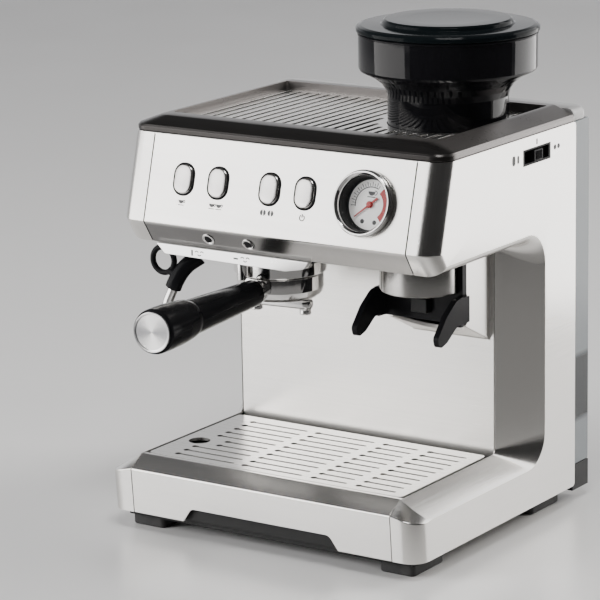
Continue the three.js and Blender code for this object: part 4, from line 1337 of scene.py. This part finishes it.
# ---- water tank, base and feet ----
def tank_cover():
    """The lid's slab: square at the front, where it meets the machine, and round at the rear."""
    start, end = low("tank_lid"), high("tank_lid")

    def level(inset, z, radius=12):
        x0, x1, rear = start.x + inset, end.x - inset, end.y - inset
        corners = [(x0, start.y, 0.4), (x1, start.y, 0.4), (x1, rear, radius), (x0, rear, radius)]
        return rounded(corners, 0, 10), "Z", z

    return lofted([level(0.4, start.z), level(0, start.z + 0.6), level(0, end.z - 5), level(0.6, end.z - 2.6),
                   level(2.4, end.z - 0.7, 11), level(5, end.z, 10)])


def build_tank():
    refined("water_tank", "tank_body", "water_tank", "tank", 2.0)
    piece("tank_cover", tank_cover(), "tank_lid", "lid_grey", ("tank_lid",), edge=0,
          smooth=50)
    refined("tank_stand", "stand", "machine", "black_matt", 1.5)
    refined("cord_inlet", "inlet", "machine", "black", 0.5)
    refined("rear_cover", "back_plate", "machine", "grey", 0.3)


def build_base():
    refined("base_pan", "floor_pan", "machine", "black_matt", 1.0)
    for side in ("left", "right"):
        for end in ("front", "rear"):
            refined(f"foot_{end}_{side}", f"rubber_{end}_{side}", "machine", "rubber", 1.4)


HIDDEN_PARTS = {
    "group_gasket": "rubber",
    "shower_screen": "satin_chrome",
    "boiler": "brass",
    "grinder_motor": "casting",
    "inner_burr": "casting",
    "outer_burr": "casting",
    "water_pump": "casting",
    "burr_shaft": "satin_chrome",
    "grind_ring": "black_matt",
}


def dress_hidden_parts():
    """Gives the inner pieces, kept as the CAD has them, their materials."""
    for node, material in HIDDEN_PARTS.items():
        mesh = frame["nodes"][node].data
        mesh.materials.clear()
        mesh.materials.append(look(material))


# ---- stage: the camera's place is in the machine's millimetres, the rest in metres ----
CAMERA_PLACE = (1263.06, -1808.73, 732.82)
CAMERA_YAW = 34.06
CAMERA_PITCH = 13.69
CAMERA_ROLL = -1.01
FLOOR_RADIUS = 9
CARD_REACH = 0.85
CARD_TOP = 1.0
CARD_SPLIT = 0.36
CAMERA_SIDE = math.radians(55)     # counted like round_the_machine's angle


def add_light(name, size, power, place, target, colour=(1, 1, 1)):
    data = bpy.data.lights.new(name, "AREA")
    data.shape = "RECTANGLE"
    data.size, data.size_y = size
    data.energy = power
    data.color = colour
    made = add_to_stage(name, data)
    made.location = place
    made.rotation_euler = (Vector(target) - Vector(place)).to_track_quat("-Z", "Y").to_euler()


def add_card(name, width, height, place, target, material):
    """A card that is seen only in reflections."""
    bm = bmesh.new()
    bmesh.ops.create_grid(bm, x_segments=1, y_segments=1, size=0.5)
    bmesh.ops.scale(bm, verts=bm.verts, vec=(width, height, 1))
    turn = (Vector(target) - Vector(place)).to_track_quat("-Z", "Y").to_matrix().to_4x4()
    bmesh.ops.transform(bm, matrix=Matrix.Translation(place) @ turn, verts=bm.verts)
    made = add_to_stage(name, flat_mesh(name, bm, material))
    made.visible_camera = False
    made.visible_shadow = False
    made.visible_diffuse = False


def toward_camera_side(right, back):
    """How far a direction or a place lies toward the right front, where the camera stands."""
    return right * math.sin(CAMERA_SIDE) - back * math.cos(CAMERA_SIDE)


def build_world(strength):
    """A pale room: bright round the horizon, dimmer overhead, and dim where the camera stands."""
    world = bpy.data.worlds.new("Pale room")
    bpy.context.scene.world = world
    world.use_nodes = True
    room = Nodes(world.node_tree)
    right, back, up = room.split(room.node("ShaderNodeTexCoord").outputs["Generated"])
    ramp = room.node("ShaderNodeValToRGB", None, Fac=up * 0.5 + 0.5)
    levels = {0.0: 0.25, 0.47: 0.55, 0.52: 0.95, 0.64: 0.95, 0.72: 0.16, 1.0: 0.07}
    stops = ramp.color_ramp.elements
    for height in list(levels)[1:-1]:
        stops.new(height)
    for stop, (height, level) in zip(stops, levels.items()):
        stop.position = height
        stop.color = (level, level, level * 1.02, 1)
    brightness = (1.0 - toward_camera_side(right, back).above(0.5, 0.4) * 0.93) * strength
    background = room.node("ShaderNodeBackground", None, Color=ramp.outputs[0], Strength=brightness)
    room.node("ShaderNodeOutputWorld", None, Surface=background.outputs[0])


def floor_material():
    """A pale tabletop. Glossy pieces mirror it darker on the side that the camera stands on."""
    floor = Finish("Pale tabletop")
    cloud = floor.noise(6.0, 3.0)
    right, back, _ = floor.split(floor.place)
    mirrored = floor.value(floor.node("ShaderNodeLightPath").outputs["Is Glossy Ray"])
    shaded = mirrored * toward_camera_side(right, back).above(0.22, 0.16) * 0.70
    pale = floor.mix(cloud, (0.74, 0.73, 0.715), (0.80, 0.79, 0.775))
    floor.set(Base_Color=floor.mix(shaded, pale, (0.02, 0.02, 0.02)), Roughness=cloud * 0.1 + 0.27)
    return floor.material


def add_to_stage(name, data):
    made = bpy.data.objects.new(name, data)
    bpy.context.scene.collection.objects.link(made)
    return made


def flat_mesh(name, bm, material):
    mesh = bpy.data.meshes.new(name)
    bm.to_mesh(mesh)
    bm.free()
    mesh.materials.append(material)
    return mesh


def build_floor():
    bm = bmesh.new()
    bmesh.ops.create_circle(bm, cap_ends=True, radius=FLOOR_RADIUS, segments=64)
    add_to_stage("floor", flat_mesh("floor", bm, floor_material()))


def card_material(name, colour, strength):
    made = Finish(name)
    cloud = made.noise(3.0, 2.0)
    shade = made.mix(cloud, scaled(colour, 0.9), colour)
    made.set(Base_Color=shade, Roughness=0.9, Emission_Color=shade, Emission_Strength=strength)
    return made.material


def build_camera(lens):
    data = bpy.data.cameras.new("camera")
    data.lens = lens
    data.sensor_width = 36
    data.dof.use_dof = False
    data.clip_end = 50
    made = add_to_stage("camera", data)
    turn = (Matrix.Rotation(math.radians(CAMERA_YAW), 4, "Z")
            @ Matrix.Rotation(math.radians(90 - CAMERA_PITCH), 4, "X")
            @ Matrix.Rotation(math.radians(CAMERA_ROLL), 4, "Z"))
    made.matrix_world = Matrix.Translation(TO_METRES @ Vector(CAMERA_PLACE)) @ turn
    bpy.context.scene.camera = made


def round_the_machine(angle, reach, height):
    """A place on the stage. The angle is counted from the front towards the machine's right."""
    turn = math.radians(angle)
    return Vector((reach * math.sin(turn), -reach * math.cos(turn), height))


def build_stage():
    settings = bpy.context.scene.espresso_stage
    build_world(settings.room_light)
    build_floor()
    key = settings.key_power
    centre = (0, 0, 0.2)
    add_light("window left", (1.2, 1.1), key, round_the_machine(-40, 2.4, 1.1), centre, (0.99, 0.99, 1))
    add_light("window back", (1.2, 1.2), key * 0.8, round_the_machine(143, 2.2, 1.2), centre, (1, 0.98, 0.96))
    add_light("lamp above", (0.7, 0.7), key * 0.35, (0.5, -0.5, 2.2), centre)
    dark = card_material("Dark card", (0.008, 0.008, 0.008), 0.0)
    for step in range(6):
        height = 0.62
        place = round_the_machine(22 * step - 2, CARD_REACH, height)
        add_card(f"dark card {step}", 0.36, 1.2, place, (0, 0, height), dark)
    lower = card_material("Bright card, lower", (1.0, 0.985, 0.97), 3.4)
    upper = card_material("Bright card, upper", (1.0, 0.99, 0.98), 1.5)
    halves = (("lower", lower, 0, CARD_SPLIT), ("upper", upper, CARD_SPLIT, CARD_TOP))
    for name, angle, width in (("left", -50, 0.9), ("back", 150, 0.8)):
        for part, material, start, end in halves:
            height = (start + end) / 2
            add_card(f"bright card {name} {part}", width, end - start,
                     round_the_machine(angle, CARD_REACH, height), (0, 0, height), material)
    build_camera(settings.lens)


# ---- the add-on ----
class Building:
    """What the operators share: each runs its own build and stops the script if nothing comes of it."""
    bl_options = {"REGISTER", "UNDO"}

    def execute(self, context):
        before = len(bpy.data.objects) + len(bpy.data.materials)
        self.build()
        if len(bpy.data.objects) + len(bpy.data.materials) == before:
            raise RuntimeError(f"{self.bl_label}: nothing was made")
        return {"FINISHED"}


class ESPRESSO_OT_side_covers(Building, bpy.types.Operator):
    """Builds the two folded steel side covers"""
    bl_idname = "espresso.side_covers"
    bl_label = "Side covers"
    build = staticmethod(build_side_covers)


class ESPRESSO_OT_front_cover(Building, bpy.types.Operator):
    """Builds the leaning front with its openings"""
    bl_idname = "espresso.front_cover"
    bl_label = "Front cover"
    build = staticmethod(build_front_cover)


class ESPRESSO_OT_buttons(Building, bpy.types.Operator):
    """Builds the four push buttons and their marks"""
    bl_idname = "espresso.buttons"
    bl_label = "Buttons"
    build = staticmethod(build_buttons)


class ESPRESSO_OT_gauge(Building, bpy.types.Operator):
    """Builds the pressure gauge"""
    bl_idname = "espresso.gauge"
    bl_label = "Gauge"
    build = staticmethod(build_gauge)


class ESPRESSO_OT_chin_parts(Building, bpy.types.Operator):
    """Builds the two lenses and the label"""
    bl_idname = "espresso.chin_parts"
    bl_label = "Chin parts"
    build = staticmethod(build_chin_parts)


class ESPRESSO_OT_tray(Building, bpy.types.Operator):
    """Builds the drip tray and its float"""
    bl_idname = "espresso.tray"
    bl_label = "Drip tray"
    build = staticmethod(build_tray)


class ESPRESSO_OT_grille(Building, bpy.types.Operator):
    """Builds the slotted grille"""
    bl_idname = "espresso.grille"
    bl_label = "Drip grille"
    build = staticmethod(build_grille)


class ESPRESSO_OT_rim(Building, bpy.types.Operator):
    """Builds the dark rim round the top"""
    bl_idname = "espresso.rim"
    bl_label = "Rim"
    build = staticmethod(build_rim)


class ESPRESSO_OT_warmer(Building, bpy.types.Operator):
    """Builds the slotted plate on the top"""
    bl_idname = "espresso.warmer"
    bl_label = "Cup warmer"
    build = staticmethod(build_warmer)


class ESPRESSO_OT_hopper(Building, bpy.types.Operator):
    """Builds the hopper and its lid"""
    bl_idname = "espresso.hopper"
    bl_label = "Bean hopper"
    build = staticmethod(build_hopper)


class ESPRESSO_OT_group(Building, bpy.types.Operator):
    """Builds the group head and what surrounds it"""
    bl_idname = "espresso.group"
    bl_label = "Group head"
    build = staticmethod(build_group)


class ESPRESSO_OT_holder(Building, bpy.types.Operator):
    """Builds the filter holder with its handle"""
    bl_idname = "espresso.holder"
    bl_label = "Filter holder"
    build = staticmethod(build_holder)


class ESPRESSO_OT_spouts(Building, bpy.types.Operator):
    """Builds the twin spout"""
    bl_idname = "espresso.spouts"
    bl_label = "Spouts"
    build = staticmethod(build_spouts)


class ESPRESSO_OT_wand(Building, bpy.types.Operator):
    """Builds the steam wand"""
    bl_idname = "espresso.wand"
    bl_label = "Steam wand"
    build = staticmethod(build_wand)


class ESPRESSO_OT_outlet(Building, bpy.types.Operator):
    """Builds the outlet, the cradle and the splash plate"""
    bl_idname = "espresso.outlet"
    bl_label = "Grinder outlet"
    build = staticmethod(build_outlet)


class ESPRESSO_OT_selector(Building, bpy.types.Operator):
    """Builds the slider on the right side"""
    bl_idname = "espresso.selector"
    bl_label = "Grind selector"
    build = staticmethod(build_selector)


class ESPRESSO_OT_tank(Building, bpy.types.Operator):
    """Builds the tank and the rear"""
    bl_idname = "espresso.tank"
    bl_label = "Water tank"
    build = staticmethod(build_tank)


class ESPRESSO_OT_base(Building, bpy.types.Operator):
    """Builds the floor pan and the feet"""
    bl_idname = "espresso.base"
    bl_label = "Base"
    build = staticmethod(build_base)


class ESPRESSO_OT_hidden_parts(Building, bpy.types.Operator):
    """Gives the inner parts their materials"""
    bl_idname = "espresso.hidden_parts"
    bl_label = "Inner parts"
    build = staticmethod(dress_hidden_parts)


class ESPRESSO_OT_stage(Building, bpy.types.Operator):
    """Builds the floor, the lights and the camera"""
    bl_idname = "espresso.stage"
    bl_label = "Stage"
    build = staticmethod(build_stage)


OPERATORS = [
    ESPRESSO_OT_side_covers,
    ESPRESSO_OT_front_cover,
    ESPRESSO_OT_buttons,
    ESPRESSO_OT_gauge,
    ESPRESSO_OT_chin_parts,
    ESPRESSO_OT_tray,
    ESPRESSO_OT_grille,
    ESPRESSO_OT_rim,
    ESPRESSO_OT_warmer,
    ESPRESSO_OT_hopper,
    ESPRESSO_OT_group,
    ESPRESSO_OT_holder,
    ESPRESSO_OT_spouts,
    ESPRESSO_OT_wand,
    ESPRESSO_OT_outlet,
    ESPRESSO_OT_selector,
    ESPRESSO_OT_tank,
    ESPRESSO_OT_base,
    ESPRESSO_OT_hidden_parts,
    ESPRESSO_OT_stage,
]


class ESPRESSO_PT_panel(bpy.types.Panel):
    """Lists the builders and their settings"""
    bl_label = "Espresso machine"
    bl_idname = "ESPRESSO_PT_panel"
    bl_space_type = "VIEW_3D"
    bl_region_type = "UI"
    bl_category = "Espresso machine"

    def draw(self, context):
        for group in SETTINGS:
            settings = getattr(context.scene, group)
            column = self.layout.column()
            for name in settings.__annotations__:
                column.prop(settings, name)
        for kind in OPERATORS:
            self.layout.operator(kind.bl_idname)


SETTINGS = {
    "espresso_finish": FinishSettings,
    "espresso_detail": DetailSettings,
    "espresso_stage": StageSettings,
}


def register():
    for name, kind in SETTINGS.items():
        bpy.utils.register_class(kind)
        setattr(bpy.types.Scene, name, PointerProperty(type=kind))
    for kind in OPERATORS:
        bpy.utils.register_class(kind)
    bpy.utils.register_class(ESPRESSO_PT_panel)


def unregister():
    bpy.utils.unregister_class(ESPRESSO_PT_panel)
    for kind in reversed(OPERATORS):
        bpy.utils.unregister_class(kind)
    for name, kind in SETTINGS.items():
        delattr(bpy.types.Scene, name)
        bpy.utils.unregister_class(kind)


def main():
    register()
    for kind in OPERATORS:
        family, name = kind.bl_idname.split(".")
        getattr(getattr(bpy.ops, family), name)()


if __name__ == "__main__":
    main()
